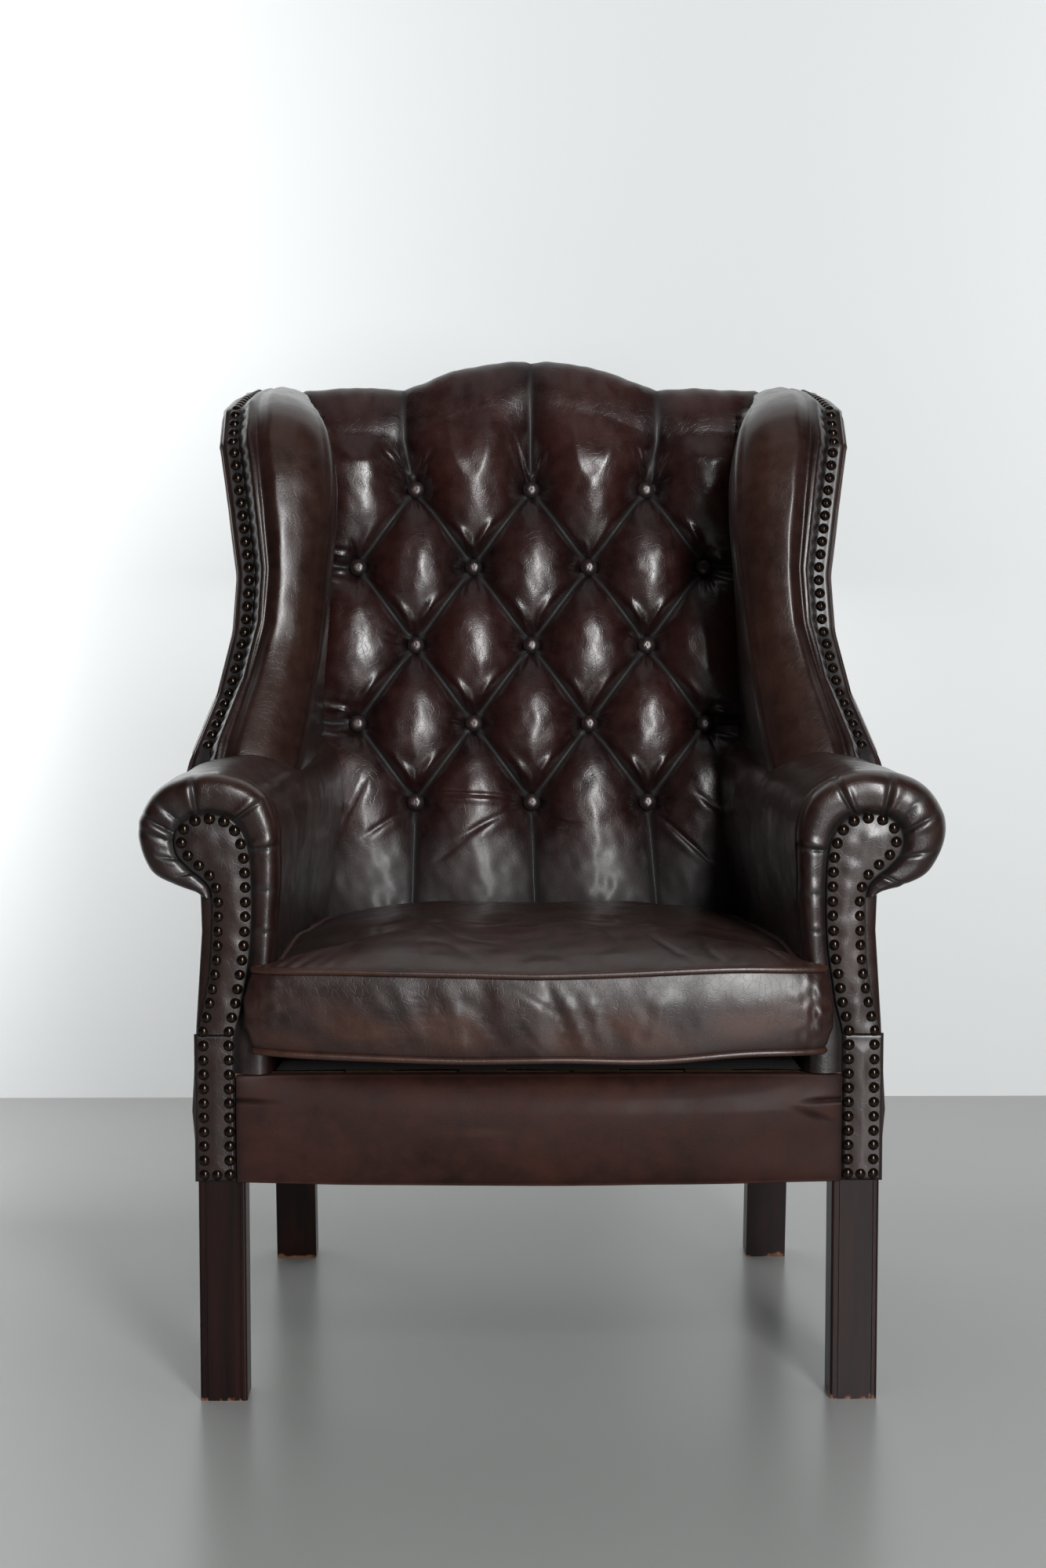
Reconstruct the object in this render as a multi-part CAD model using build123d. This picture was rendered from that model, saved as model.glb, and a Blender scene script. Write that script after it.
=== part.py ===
from build123d import *
import math
import os

# Chesterfield wingback armchair. Millimetres, +Z up, front faces -Y, symmetric about X = 0.
# Depths are counted from the front faces of the front legs.

# Overall placing
leg_face_y = -348.4

# Front legs and seat frame
leg_side = 49.0
leg_outer_x = 353.0
cover_edge_z = 233.0
rail_bottom_z = 236.0
rail_top_z = 342.0
rail_thick = 28.0
front_rail_setback = 8.0
side_taper = 38.0
groove_inset = 7.0
groove_width = 2.6
groove_depth = 2.2
bead_radius = 2.8
block_leg = 78.0

# Back posts with raked back legs
post_outer_x = 314.0
post_width = 48.0
post_depth = 558.0
post_size = 44.0
foot_rake = 35.0
foot_size = 48.0
post_rake = 126.0
post_top_z = 1040.0

# Back rails, measured up the sloping front plane of the posts
camel_low = 640.0
camel_side = 715.0
camel_rise = 37.0
camel_flat = 160.0
camel_shoulder_share = 0.60
camel_foot_share = 0.06
camel_rail_thick = 30.0
low_rail_low = 90.0
low_rail_high = 140.0
low_rail_thick = 28.0

# Dowels
dowel_radius = 5.0
dowel_half = 22.0
dowel_spread = 26.0

# Webbing
web_width = 50.0
web_thick = 2.0
seat_web_count = 4
back_web_count = 5
back_upright_count = 3
seat_web_pitch = 118.0
back_web_pitch = 112.0
back_upright_pitch = 150.0
back_web_start = 165.0

# Seat platform and dust cover
deck_thick = 15.0
dust_thick = 1.5

# Arms
arm_roll_overhang = 8.0
arm_roll_z = 593.0
arm_roll_half_width = 72.0
arm_roll_half_height = 62.0
arm_shift = 39.0
arm_inner_front_x = 275.0
arm_inner_rear_x = 247.0
arm_wall_thick = 24.0
arm_over_run = 82.0
arm_front_round = 20.0
arm_wall_round_share = 0.7
arm_board_width = 84.0
arm_board_thick = 24.0
arm_board_z = 582.0
front_board_thick = 22.0
front_board_setback = 5.0
front_board_inset = 16.0
front_board_setin = 6.0
arm_low_rail_z = 372.0
arm_low_rail_height = 44.0
arm_low_rail_thick = 22.0

# Leather thickness and facings
leather = 3.0
facing_thick = 4.0
facing_join_z = 388.0
facing_margin = 6.5
rail_cover_swell = 14.0

# Wings, by height: outer front edge, its depth, innermost face, and its depth
wing_low_z = 600.0
wing_high_z = 1062.0
wing_z_shares = [0, 0.119, 0.2597, 0.4113, 0.5411, 0.7143, 0.8658, 0.9481, 0.9784, 1]
wing_nail_x_shares = [1.21, 1.172, 1.096, 1.045, 1.032, 1.064, 1.097, 1.096, 1.076, 1.045]
wing_nail_depth_shares = [0.4409, 0.491, 0.5914, 0.6452, 0.6667, 0.6918, 0.7276, 0.7993, 0.9319, 1.075]
wing_inner_x_shares = [0.8662, 0.8408, 0.8089, 0.7739, 0.7548, 0.7389, 0.7452, 0.7771, 0.8217, 0.8535]
wing_frame_thick = 26.0
wing_band_in = 7.0
wing_band_out = 10.0
wing_swell = 16.0
wing_swell_depth = 14.0
wing_roll_reach = 26.0
wing_foot_share = 0.4
wing_cheek_share = 0.75
wing_shoulder_share = 0.7
wing_rear_x = 336.0
rear_over_share = 1.1

# Back pad, buttons and tufts
pad_thick = 54.0
pad_low = 16.0
pad_low_thick = 26.0
pad_over_rail = 13.0
pad_half_low = 243.0
pad_half_high = 258.0
pad_neck = 330.0
pad_edge_round = 15.0
rim_shares = [(0.0, 0.0), (0.0, 0.62), (0.3, 0.90), (1.0, 1.0)]
button_pitch_x = 141.0
button_row_pitch = 96.0
button_low_row = 226.0
button_radius = 9.5
button_thick = 7.0
button_seat = 17.0
button_edge_share = 0.6
tuft_mouth_radius = 27.0
tuft_floor_radius = 11.0
pleat_depth = 24.0
pleat_half_width = 15.0
pleat_run_out = 12.0

# Nails
nail_radius = 6.0
nail_height = 3.8
nail_pitch = 15.0

# Loose cushion
cushion_front_depth = -27.0
cushion_bow = 12.0
cushion_bow_share = 0.75
cushion_ear_x = 295.0
cushion_ear_back = -7.0
cushion_waist_front_x = 268.0
cushion_rear_x = 241.0
cushion_rear_gap = 29.0
cushion_low_z = 376.0
cushion_high_z = 456.0
cushion_crown = 26.0
cushion_sag = 17.0
crown_steps = 7
crown_draw_share = 0.42
crown_draw_power = 2.2
cushion_corner = 9.0
welt_radius = 3.6
core_inset = 9.0

# Clearances
soft_gap = 0.4
hair_gap = 0.2

os.makedirs("parts", exist_ok=True)

# Sizes that follow from the ones above
side_end = post_depth + post_size
arm_roll_x = arm_inner_front_x - arm_roll_overhang + arm_roll_half_width
arm_end_depth = post_depth + arm_over_run
cushion_rear_depth = post_depth - cushion_rear_gap
camel_peak = camel_side + camel_rise
pad_top_side = camel_side + pad_over_rail
pad_top_peak = camel_peak + pad_over_rail
wing_z = [wing_low_z + share * (wing_high_z - wing_low_z) for share in wing_z_shares]
wing_nail_x = [post_outer_x * share for share in wing_nail_x_shares]
wing_nail_depth = [post_depth * share for share in wing_nail_depth_shares]
wing_inner_x = [post_outer_x * share for share in wing_inner_x_shares]
wing_foot_z = arm_roll_z + arm_roll_half_height * wing_foot_share


def block(x0, x1, d0, d1, z0, z1):
    """Box between two X values, two depths behind the leg faces and two heights."""
    size = (abs(x1 - x0), abs(d1 - d0), abs(z1 - z0))
    centre = ((x0 + x1) / 2, leg_face_y + (d0 + d1) / 2, (z0 + z1) / 2)
    return Location(centre) * Box(*size)


def side_cut(points, x0, x1):
    """Profile given as (depth, height) pairs, as thick as x0 to x1."""
    plane = Plane(origin=(x0, leg_face_y, 0), x_dir=(0, 1, 0), z_dir=(1, 0, 0))
    return extrude(plane * make_face(Polyline(*points, close=True)), amount=x1 - x0)


def plan_cut(points, z0, z1):
    """Profile given as (X, depth) pairs, as tall as z0 to z1."""
    plane = Plane(origin=(0, leg_face_y, z0))
    return extrude(plane * make_face(Polyline(*points, close=True)), amount=z1 - z0)


def front_plane(depth):
    """Upright plane facing the front: local x is X, local y is height."""
    return Plane(origin=(0, leg_face_y + depth, 0), x_dir=(1, 0, 0), z_dir=(0, -1, 0))


def other_side(shape):
    """The same piece for the other side of the chair."""
    return mirror(shape, about=Plane.YZ)


def save(node, shape):
    """One node, one file."""
    shape.label = node
    export_step(shape, f"parts/{node}.step")


def save_pair(node, shape):
    """A handed pair: the shape as built is the right-hand one, at +X."""
    save(f"{node}_right", shape)
    save(f"{node}_left", other_side(shape))


def group(shapes):
    """Separate identical pieces kept in one file."""
    solids = []
    for shape in shapes:
        solids.extend(shape.solids())
    return Compound(children=solids)


# Slopes shared by the frame
lean = math.atan2(post_rake, post_top_z - rail_top_z)
back_plane = Plane(origin=(0, leg_face_y + post_depth, rail_top_z), x_dir=(1, 0, 0),
                   z_dir=(0, -math.cos(lean), math.sin(lean)))


def outer_x(depth):
    """Outer face line of the seat frame in plan."""
    return leg_outer_x - side_taper * max(0, depth - leg_side) / (side_end - leg_side)


def arm_inner_x(depth):
    """Inner face line of the padded arm in plan."""
    return arm_inner_front_x + (arm_inner_rear_x - arm_inner_front_x) * depth / post_depth


def on_back(x, up, out):
    """Point by X, distance up the sloping back and distance out to the front."""
    return back_plane.from_local_coords((x, up, out))


def back_slab(face, out0, out1):
    """Flat outline on the back, from out0 to out1 before the posts' front plane."""
    return extrude(back_plane.offset(out0) * face, amount=out1 - out0)


# Front legs: square, moulded with an edge bead and a quirk on the two outer faces.
front_leg = block(leg_outer_x - leg_side, leg_outer_x, 0, leg_side, 0, rail_top_z)
seen_edges = front_leg.edges().filter_by(Axis.Z).sort_by(Axis.Y)[:2]
front_leg = fillet(seen_edges + [front_leg.edges().filter_by(Axis.Z).sort_by(Axis.X)[-1]], bead_radius)
for inset in (groove_inset, leg_side - groove_inset):
    x_mid = leg_outer_x - inset
    front_leg -= block(x_mid - groove_width / 2, x_mid + groove_width / 2, 0, groove_depth,
                       0, cover_edge_z)
    front_leg -= block(leg_outer_x - groove_depth, leg_outer_x, inset - groove_width / 2,
                       inset + groove_width / 2, 0, cover_edge_z)

# Back posts: raked leg below the seat, sloping post above, sawn in one piece.
post_top_depth = post_depth + post_rake
foot_depth = post_depth + foot_rake
post_outline = [(foot_depth, 0), (foot_depth + foot_size, 0), (side_end, rail_bottom_z),
                (side_end, rail_top_z), (post_top_depth + post_size, post_top_z),
                (post_top_depth, post_top_z), (post_depth, rail_top_z), (post_depth, rail_bottom_z)]
back_post = side_cut(post_outline, post_outer_x - post_width, post_outer_x)

# Seat rails between the legs and posts.
leg_inner_x = leg_outer_x - leg_side
post_inner_x = post_outer_x - post_width
front_rail = block(-leg_inner_x, leg_inner_x, front_rail_setback, front_rail_setback + rail_thick,
                   rail_bottom_z, rail_top_z)
rear_rail = block(-post_inner_x, post_inner_x, post_depth + hair_gap, post_depth + rail_thick,
                  rail_bottom_z, rail_top_z)
side_rail_line = [(outer_x(leg_side), leg_side), (outer_x(post_depth), post_depth),
                  (outer_x(post_depth) - rail_thick, post_depth),
                  (outer_x(leg_side) - rail_thick, leg_side)]
side_rail = plan_cut(side_rail_line, rail_bottom_z, rail_top_z)

# Corner blocks glued across the four inside corners of the seat frame.
rail_inner_front = front_rail_setback + rail_thick
front_corner_x = outer_x(leg_side) - rail_thick
rear_corner_x = outer_x(post_depth) - rail_thick
front_block = plan_cut([(leg_inner_x - block_leg, rail_inner_front), (leg_inner_x, rail_inner_front),
                        (leg_inner_x, leg_side + block_leg / 3)],
                       rail_bottom_z + leather, rail_top_z - deck_thick)
rear_block = plan_cut([(post_inner_x - hair_gap, post_depth - block_leg),
                       (post_inner_x - hair_gap, post_depth),
                       (post_inner_x - block_leg, post_depth)],
                      rail_bottom_z + leather, rail_top_z - deck_thick)
save("corner_blocks", group([front_block, other_side(front_block), rear_block, other_side(rear_block)]))

# Webbing under the seat: bands front to back, and bands across them.
web_z = rail_top_z
long_bands = []
for i in range(seat_web_count):
    x = (i - (seat_web_count - 1) / 2) * seat_web_pitch
    long_bands.append(block(x - web_width / 2, x + web_width / 2, front_rail_setback + leather,
                            post_depth + rail_thick, web_z, web_z + web_thick))
save("seat_webbing_long", group(long_bands))
cross_bands = []
for i in range(seat_web_count):
    d = (rail_inner_front + post_depth) / 2 + (i - (seat_web_count - 1) / 2) * seat_web_pitch
    reach = outer_x(d) - rail_thick / 2
    cross_bands.append(block(-reach, reach, d - web_width / 2, d + web_width / 2,
                             web_z + web_thick, web_z + 2 * web_thick))
save("seat_webbing_cross", group(cross_bands))

# Black cloth tacked under the rails.
dust_front = front_rail_setback + leather
dust_line = [(leg_inner_x - leather, dust_front), (leg_inner_x - leather, leg_side + leather),
             (outer_x(leg_side) - leather, leg_side + leather),
             (outer_x(post_depth) - leather, post_depth - leather),
             (post_inner_x - leather, post_depth - leather),
             (post_inner_x - leather, post_depth + rail_thick)]
dust_line += [(-x, d) for x, d in reversed(dust_line)]
save("dust_cover", plan_cut(dust_line, rail_bottom_z - dust_thick, rail_bottom_z))

# Back webbing: cross bands on the posts' front plane, uprights before them.
back_cross = []
for i in range(back_web_count):
    up = back_web_start + i * back_web_pitch
    back_cross.append(back_slab(Pos(0, up) * Rectangle(2 * post_outer_x - post_width, web_width),
                                0, web_thick))
save("back_webbing_cross", group(back_cross))
back_uprights = []
for i in range(back_upright_count):
    x = (i - (back_upright_count - 1) / 2) * back_upright_pitch
    back_uprights.append(back_slab(Pos(x, (low_rail_low + camel_side) / 2) * Rectangle(
        web_width, camel_side - low_rail_low), web_thick, 2 * web_thick))
save("back_webbing_upright", group(back_uprights))

# Arm line: every arm piece follows the same inward drift from front to back.


def arm_drift(depth):
    """How far the arm has moved towards the middle at a depth."""
    return arm_shift * depth / post_depth


def along_arm(face, depth0, depth1):
    """Outline drawn at the front of the arm, carried along the drifting arm line."""
    span = depth1 - depth0
    start = front_plane(depth0) * (Pos(-arm_drift(depth0), 0) * face)
    return extrude(start, amount=math.hypot(span, arm_drift(span)),
                   dir=(-arm_drift(span), span, 0))


# Scroll outline of the arm front: a leaning stem with the roll above it.
def scroll_face(inset):
    """Roll and stem outline in from the padded surface by a given amount."""
    roll = Pos(arm_roll_x, arm_roll_z) * Ellipse(arm_roll_half_width - inset,
                                                 arm_roll_half_height - inset)
    stem_in = arm_inner_front_x + inset
    stem_out = leg_outer_x - leather - front_board_setin
    stem = Pos((stem_in + stem_out) / 2, (rail_top_z + arm_roll_z) / 2) * Rectangle(
        stem_out - stem_in, arm_roll_z - rail_top_z)
    return roll + stem


board_front = front_board_setback
board_back = front_board_setback + front_board_thick
arm_front_board = extrude(front_plane(board_front) * scroll_face(front_board_inset),
                          amount=-front_board_thick)

# Arm top board: runs from the scroll board to the back post inside the roll.
arm_board_face = Pos(arm_roll_x, arm_board_z) * Rectangle(arm_board_width, arm_board_thick)
arm_board = along_arm(arm_board_face, board_back, arm_end_depth)
reach = 4 * post_outer_x
behind_front = back_slab(Rectangle(2 * post_outer_x + 2 * hair_gap, reach), -reach, 0)
behind_rear = back_slab(Rectangle(reach, reach), -reach, -post_size * math.cos(lean))
behind_back = behind_front + behind_rear
arm_board = arm_board - behind_back - back_cross
save_pair("arm_board", arm_board)

# Lower arm rail for fixing the inside and outside covers.
low_rail_x = outer_x(board_back) - arm_low_rail_thick
low_rail_end_x = outer_x(post_depth) - arm_low_rail_thick
arm_low_rail = plan_cut([(low_rail_x, board_back), (outer_x(board_back), board_back),
                         (outer_x(post_depth), post_depth), (low_rail_end_x, post_depth)],
                        arm_low_rail_z, arm_low_rail_z + arm_low_rail_height)
save_pair("arm_lower_rail", arm_low_rail)

# Camel top rail and lower back rail between the back posts.


def camel_face(low, side, peak, half, half_low=None, neck=None):
    """Outline with the humped camel line on top, narrower below the neck where one is given."""
    right = [(half, low), (half, side)]
    if neck is not None:
        right = [(half_low, low), (half_low, neck), (half, neck), (half, side)]
    left = [(-x, up) for x, up in reversed(right)]
    line = Polyline(*left, *right)
    hump = Spline((half, side), (camel_flat, side + (peak - side) * camel_foot_share),
                  (camel_flat / 2, side + (peak - side) * camel_shoulder_share), (0, peak),
                  (-camel_flat / 2, side + (peak - side) * camel_shoulder_share),
                  (-camel_flat, side + (peak - side) * camel_foot_share), (-half, side),
                  tangents=[(-1, 0), (-1, 0)])
    return make_face(line + hump)


camel_rail = back_slab(camel_face(camel_low, camel_side, camel_peak, post_inner_x),
                       -camel_rail_thick, 0)
low_back_rail = back_slab(Pos(0, (low_rail_low + low_rail_high) / 2) * Rectangle(
    2 * post_inner_x, low_rail_high - low_rail_low), -low_rail_thick, 0)

# Dowels across the frame joints, glued into both pieces.


def dowel(centre, direction):
    """Plain round dowel centred on a joint."""
    middle = Plane(origin=centre, z_dir=direction)
    return middle * Cylinder(dowel_radius, 2 * dowel_half)


rail_mid_z = (rail_bottom_z + rail_top_z) / 2
front_mid = leg_face_y + front_rail_setback + rail_thick / 2
rear_mid = leg_face_y + post_depth + rail_thick / 2
right_dowels = []
for step in (-dowel_spread, dowel_spread):
    z = rail_mid_z + step
    right_dowels.append(dowel((leg_inner_x, front_mid, z), (1, 0, 0)))
    right_dowels.append(dowel((post_inner_x, rear_mid, z), (1, 0, 0)))
    low = rail_mid_z + step / 2
    right_dowels.append(dowel((outer_x(leg_side) - rail_thick / 2, leg_face_y + leg_side, low), (0, 1, 0)))
    right_dowels.append(dowel((post_outer_x - dowel_radius * 2, leg_face_y + post_depth, low), (0, 1, 0)))
    up = (camel_low + camel_side) / 2 + step / 2
    right_dowels.append(dowel(on_back(post_inner_x, up, -camel_rail_thick / 2), (1, 0, 0)))
    up = (low_rail_low + low_rail_high) / 2 + step / 2
    right_dowels.append(dowel(on_back(post_inner_x, up, -low_rail_thick / 2), (1, 0, 0)))
    x = leg_outer_x - leg_side / 2 + step / 2
    right_dowels.append(dowel((x, leg_face_y + (board_front + board_back) / 2, rail_top_z), (0, 0, 1)))
left_dowels = [other_side(d) for d in right_dowels]
save("frame_dowels", group(right_dowels + left_dowels))
front_leg = front_leg - right_dowels
back_post = back_post - right_dowels
side_rail = side_rail - right_dowels
arm_front_board = arm_front_board - right_dowels
save_pair("front_leg", front_leg)
save_pair("back_post", back_post)
save_pair("side_rail", side_rail)
save_pair("arm_front_board", arm_front_board)
save("front_rail", front_rail - right_dowels - left_dowels)
save("rear_rail", rear_rail - right_dowels - left_dowels)
save("camel_top_rail", camel_rail - right_dowels - left_dowels)
save("lower_back_rail", low_back_rail - right_dowels - left_dowels)

# Wing frames: shaped boards between the arm and the top of the back post.


def wing_section(points, z):
    """Closed plan outline at one height."""
    return Plane(origin=(0, leg_face_y, z)) * make_face(Polyline(*points, close=True))


def wing_rear_depth(z):
    """Depth of the back post's front face at a height."""
    return post_depth + (z - rail_top_z) * math.tan(lean)


frame_sections = []
pad_sections = []
skin_sections = []
for z, x_nail, d_nail, x_in in zip(wing_z, wing_nail_x, wing_nail_depth, wing_inner_x):
    d_rear = wing_rear_depth(z)
    d_end = d_rear + post_size - hair_gap
    d_edge = d_nail + leather
    x_band = x_nail - wing_band_in
    x_back = x_nail + wing_band_out - leather
    x_front = x_back - wing_frame_thick
    x_swell = x_nail + wing_swell
    d_swell = d_nail + wing_swell_depth
    x_rear_in = pad_half_high + leather
    x_post = post_outer_x + hair_gap
    d_pad = d_rear - pad_thick
    frame_sections.append(wing_section(
        [(x_back, d_edge), (x_swell - leather, d_swell + leather), (wing_rear_x - leather, d_end),
         (x_post, d_end), (x_post, d_rear), (x_front, d_edge)], z))
    skin_sections.append(wing_section(
        [(x_band, d_nail), (x_back + leather, d_nail), (x_swell, d_swell), (wing_rear_x, d_end),
         (wing_rear_x - leather, d_end), (x_swell - leather, d_swell + leather),
         (x_back, d_edge), (x_band, d_edge)], z))
    mid_x = (x_nail + x_in) / 2
    d_face = min(d_nail + 2 * wing_roll_reach, d_pad - leather)
    d_cheek = min(d_nail + wing_roll_reach, d_pad - 2 * leather)
    pad_sections.append(wing_section(
        [(x_band - soft_gap, d_edge), (x_band - soft_gap, d_nail - 2 * leather),
         (x_band - 3 * leather, d_nail - wing_roll_reach * wing_cheek_share),
         (mid_x, d_nail - wing_roll_reach),
         (x_in + wing_roll_reach * wing_shoulder_share, d_nail - 4 * leather), (x_in + leather, d_cheek),
         (x_in, d_face), (x_rear_in, d_pad), (x_rear_in, d_rear), (x_post, d_rear),
         (x_front, d_edge)], z))
arm_roll_solid = along_arm(Pos(arm_roll_x, arm_roll_z) * Ellipse(
    arm_roll_half_width + soft_gap, arm_roll_half_height + soft_gap), -leg_side, arm_end_depth + leg_side)
below_foot = block(0, 2 * leg_outer_x, -leg_side, 2 * post_depth, 0, wing_foot_z)
wing_frame = loft(frame_sections, ruled=True) - arm_roll_solid - below_foot
wing_skin = loft(skin_sections, ruled=True) - arm_roll_solid - below_foot
wing_pad = loft(pad_sections, ruled=True) - arm_roll_solid - behind_back - back_cross
save_pair("wing_frame", wing_frame)
save_pair("wing_pad", wing_pad)
save_pair("outside_wing", wing_skin)

# Arm pads: padded roll and inner wall under one leather, rounded over the front rim.
roll_face = Pos(arm_roll_x, arm_roll_z) * Ellipse(arm_roll_half_width, arm_roll_half_height)
arm_roll = along_arm(roll_face, 0, arm_end_depth)
arm_roll = fillet(arm_roll.edges().sort_by(Axis.Y)[0], arm_front_round)
wall_low_z = rail_top_z + 2 * web_thick
wall_end_x = arm_inner_x(arm_end_depth)
arm_wall = plan_cut([(arm_inner_front_x, 0), (outer_x(0), 0), (outer_x(0), board_front),
                     (arm_inner_front_x + arm_wall_thick, board_front),
                     (wall_end_x + arm_wall_thick, arm_end_depth), (wall_end_x, arm_end_depth)],
                    wall_low_z, arm_roll_z)
wall_corner = arm_wall.edges().filter_by(Axis.Z).sort_by_distance(
    (arm_inner_front_x, leg_face_y, (wall_low_z + arm_roll_z) / 2))[0]
arm_wall = fillet(wall_corner, arm_front_round * arm_wall_round_share)
arm_pad = arm_roll + arm_wall - arm_front_board - arm_board - behind_back - back_cross
save_pair("arm_pad", arm_pad)

# Facings: leather over thin board, upper one scroll-shaped, lower one over the leg head.
scroll_x_shares = [-0.2639, -0.2931, -0.3264, -0.3653, -0.4125, -0.4472, -0.4778, -0.4972, -0.5111,
                   -0.5181, -0.5139, -0.4917, -0.4319, -0.3111, -0.1333, 0.0625, 0.2611, 0.3889,
                   0.3667, 0.2361, 0.06667, -0.09028, -0.1361, -0.1375, -0.1264, -0.1014, -0.04167,
                   0.02778, 0.09722]
scroll_z_shares = [0, 0.05366, 0.09756, 0.1512, 0.2624, 0.3317, 0.4049, 0.478, 0.5805, 0.6878, 0.8,
                   0.9034, 0.9863, 1.051, 1.072, 1.077, 1.057, 1.003, 0.9288, 0.8693, 0.8234,
                   0.7659, 0.6898, 0.6098, 0.4732, 0.3317, 0.2083, 0.1024, 0]
scroll_nail_x = [arm_roll_x + share * arm_roll_half_width for share in scroll_x_shares]
scroll_nail_z = [facing_join_z + share * (arm_roll_z - facing_join_z) for share in scroll_z_shares]
scroll_points = list(zip(scroll_nail_x, scroll_nail_z))
inner_face = make_face(Polyline(*scroll_points, close=True))
facing_face = offset(inner_face, amount=facing_margin, kind=Kind.ARC)
below_join = Pos(arm_roll_x, facing_join_z - leg_side) * Rectangle(4 * leg_side, 2 * leg_side)
arm_facing = extrude(front_plane(0) * (facing_face - below_join), amount=facing_thick)
save_pair("arm_facing", arm_facing)
lower_in_x = scroll_nail_x[0] - facing_margin
lower_out_x = leg_outer_x + leather
lower_facing = block(lower_in_x, lower_out_x, -facing_thick, 0, cover_edge_z, facing_join_z - hair_gap)
save_pair("lower_facing", lower_facing)

# Front rail cover: leather over padding, full in the middle.
cover_face = make_face(
    Polyline((lower_in_x - soft_gap, -facing_thick), (lower_in_x - soft_gap, 0), (leg_inner_x, 0),
             (leg_inner_x, front_rail_setback), (-leg_inner_x, front_rail_setback),
             (-leg_inner_x, 0), (soft_gap - lower_in_x, 0), (soft_gap - lower_in_x, -facing_thick))
    + ThreePointArc((soft_gap - lower_in_x, -facing_thick), (0, -facing_thick - rail_cover_swell),
                    (lower_in_x - soft_gap, -facing_thick)))
rail_cover = extrude(Plane(origin=(0, leg_face_y, cover_edge_z)) * cover_face,
                     amount=rail_top_z - cover_edge_z)
rail_cover = rail_cover + block(-arm_inner_front_x, arm_inner_front_x, 0,
                                front_rail_setback + leather, rail_top_z, wall_low_z)
save("front_rail_cover", rail_cover)

# Outside leathers, flat over the frame.
outside_arm = plan_cut([(leg_outer_x, 0), (leg_outer_x, leg_side), (outer_x(side_end), side_end),
                        (outer_x(side_end) + leather, side_end), (leg_outer_x + leather, leg_side),
                        (leg_outer_x + leather, 0)], cover_edge_z, arm_roll_z)
outside_arm -= arm_roll_solid
save_pair("outside_arm", outside_arm)
rear_low = post_depth + post_size
rear_slope = math.tan(lean)
rear_line = [(rear_low, rail_bottom_z), (rear_low, rail_top_z),
             (rear_low + (wing_z[-1] - rail_top_z) * rear_over_share * rear_slope,
              rail_top_z + (wing_z[-1] - rail_top_z) * rear_over_share)]
rear_line += [(d + leather, z) for d, z in reversed(rear_line)]
outside_back = side_cut(rear_line, -wing_rear_x, wing_rear_x)
outside_back &= back_slab(camel_face(-leg_side * 3, pad_top_side, pad_top_peak, wing_rear_x,
                                     post_outer_x, pad_neck), -reach, reach)
save("outside_back", outside_back)

# Inside back: full pad drawn in at seventeen buttons with pleats folded between them.
rim_faces = []
for inset_share, out_share in rim_shares:
    inset = inset_share * pad_edge_round
    face = camel_face(pad_low + inset, pad_top_side - inset, pad_top_peak - inset,
                      pad_half_high - inset, pad_half_low - inset, pad_neck + inset)
    rim_faces.append(back_plane.offset(2 * web_thick + out_share * (pad_thick - 2 * web_thick)) * face)
back_pad = loft(rim_faces, ruled=True)
apron_plane = Plane(origin=on_back(post_outer_x, 0, 0), x_dir=back_plane.z_dir, z_dir=(-1, 0, 0))
apron_cut = make_face(Polyline((pad_thick, button_low_row - tuft_mouth_radius),
                               (pad_thick * 2, button_low_row), (pad_thick * 2, 0),
                               (pad_low_thick, 0), close=True))
back_pad -= extrude(apron_plane * apron_cut, amount=2 * post_outer_x)
over_rail = camel_face(camel_side - leg_side, pad_top_side, pad_top_peak, pad_half_high)
back_pad += back_slab(over_rail, -post_size + leather, 2 * web_thick)
rows = []
for i in range(5):
    up = button_low_row + i * button_row_pitch
    if i % 2 == 0:
        rows.append([(x * button_pitch_x, up) for x in (-1, 0, 1)])
    else:
        rows.append([(x * button_pitch_x, up) for x in (-1.5, -0.5, 0.5, 1.5)])


def pleat(start, end):
    """Folded pleat between two points of the pad front."""
    a = on_back(start[0], start[1], pad_thick)
    b = on_back(end[0], end[1], pad_thick)
    run = b - a
    normal = back_plane.z_dir
    plane = Plane(origin=a, x_dir=run.cross(normal), z_dir=run)
    fold = make_face(Polyline((-pleat_half_width, web_thick), (pleat_half_width, web_thick),
                              (0, -pleat_depth), close=True))
    face = plane * fold
    if plane.y_dir.dot(normal) < 0:
        face = plane * mirror(fold, about=Plane.XZ)
    return extrude(face, amount=run.length)


cuts = []
for low, high in zip(rows, rows[1:]):
    for a in low:
        for b in high:
            if abs(a[0] - b[0]) < button_pitch_x:
                cuts.append(pleat(a, b))
for x, up in rows[0]:
    cuts.append(pleat((x, pad_low - pleat_run_out), (x, up)))
for x, up in rows[-1]:
    cuts.append(pleat((x, up), (x, pad_top_peak + pleat_run_out)))
for row in (rows[1], rows[3]):
    for x, up in (row[0], row[-1]):
        cuts.append(pleat((x, up), (math.copysign(pad_half_high + pleat_run_out, x), up)))
tuft_height = pad_thick - button_seat
for row in rows:
    for x, up in row:
        spot = Plane(origin=on_back(x, up, button_seat), x_dir=(1, 0, 0), z_dir=back_plane.z_dir)
        cuts.append(spot * (Pos(0, 0, tuft_height / 2) * Cone(
            tuft_floor_radius, tuft_mouth_radius, tuft_height)))
back_pad = back_pad - cuts
back_pad = back_pad - camel_rail - arm_roll_solid - back_post - other_side(arm_roll_solid)
back_pad = back_pad - other_side(back_post) - back_cross - back_uprights
save("back_pad", back_pad)
buttons = []
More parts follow.
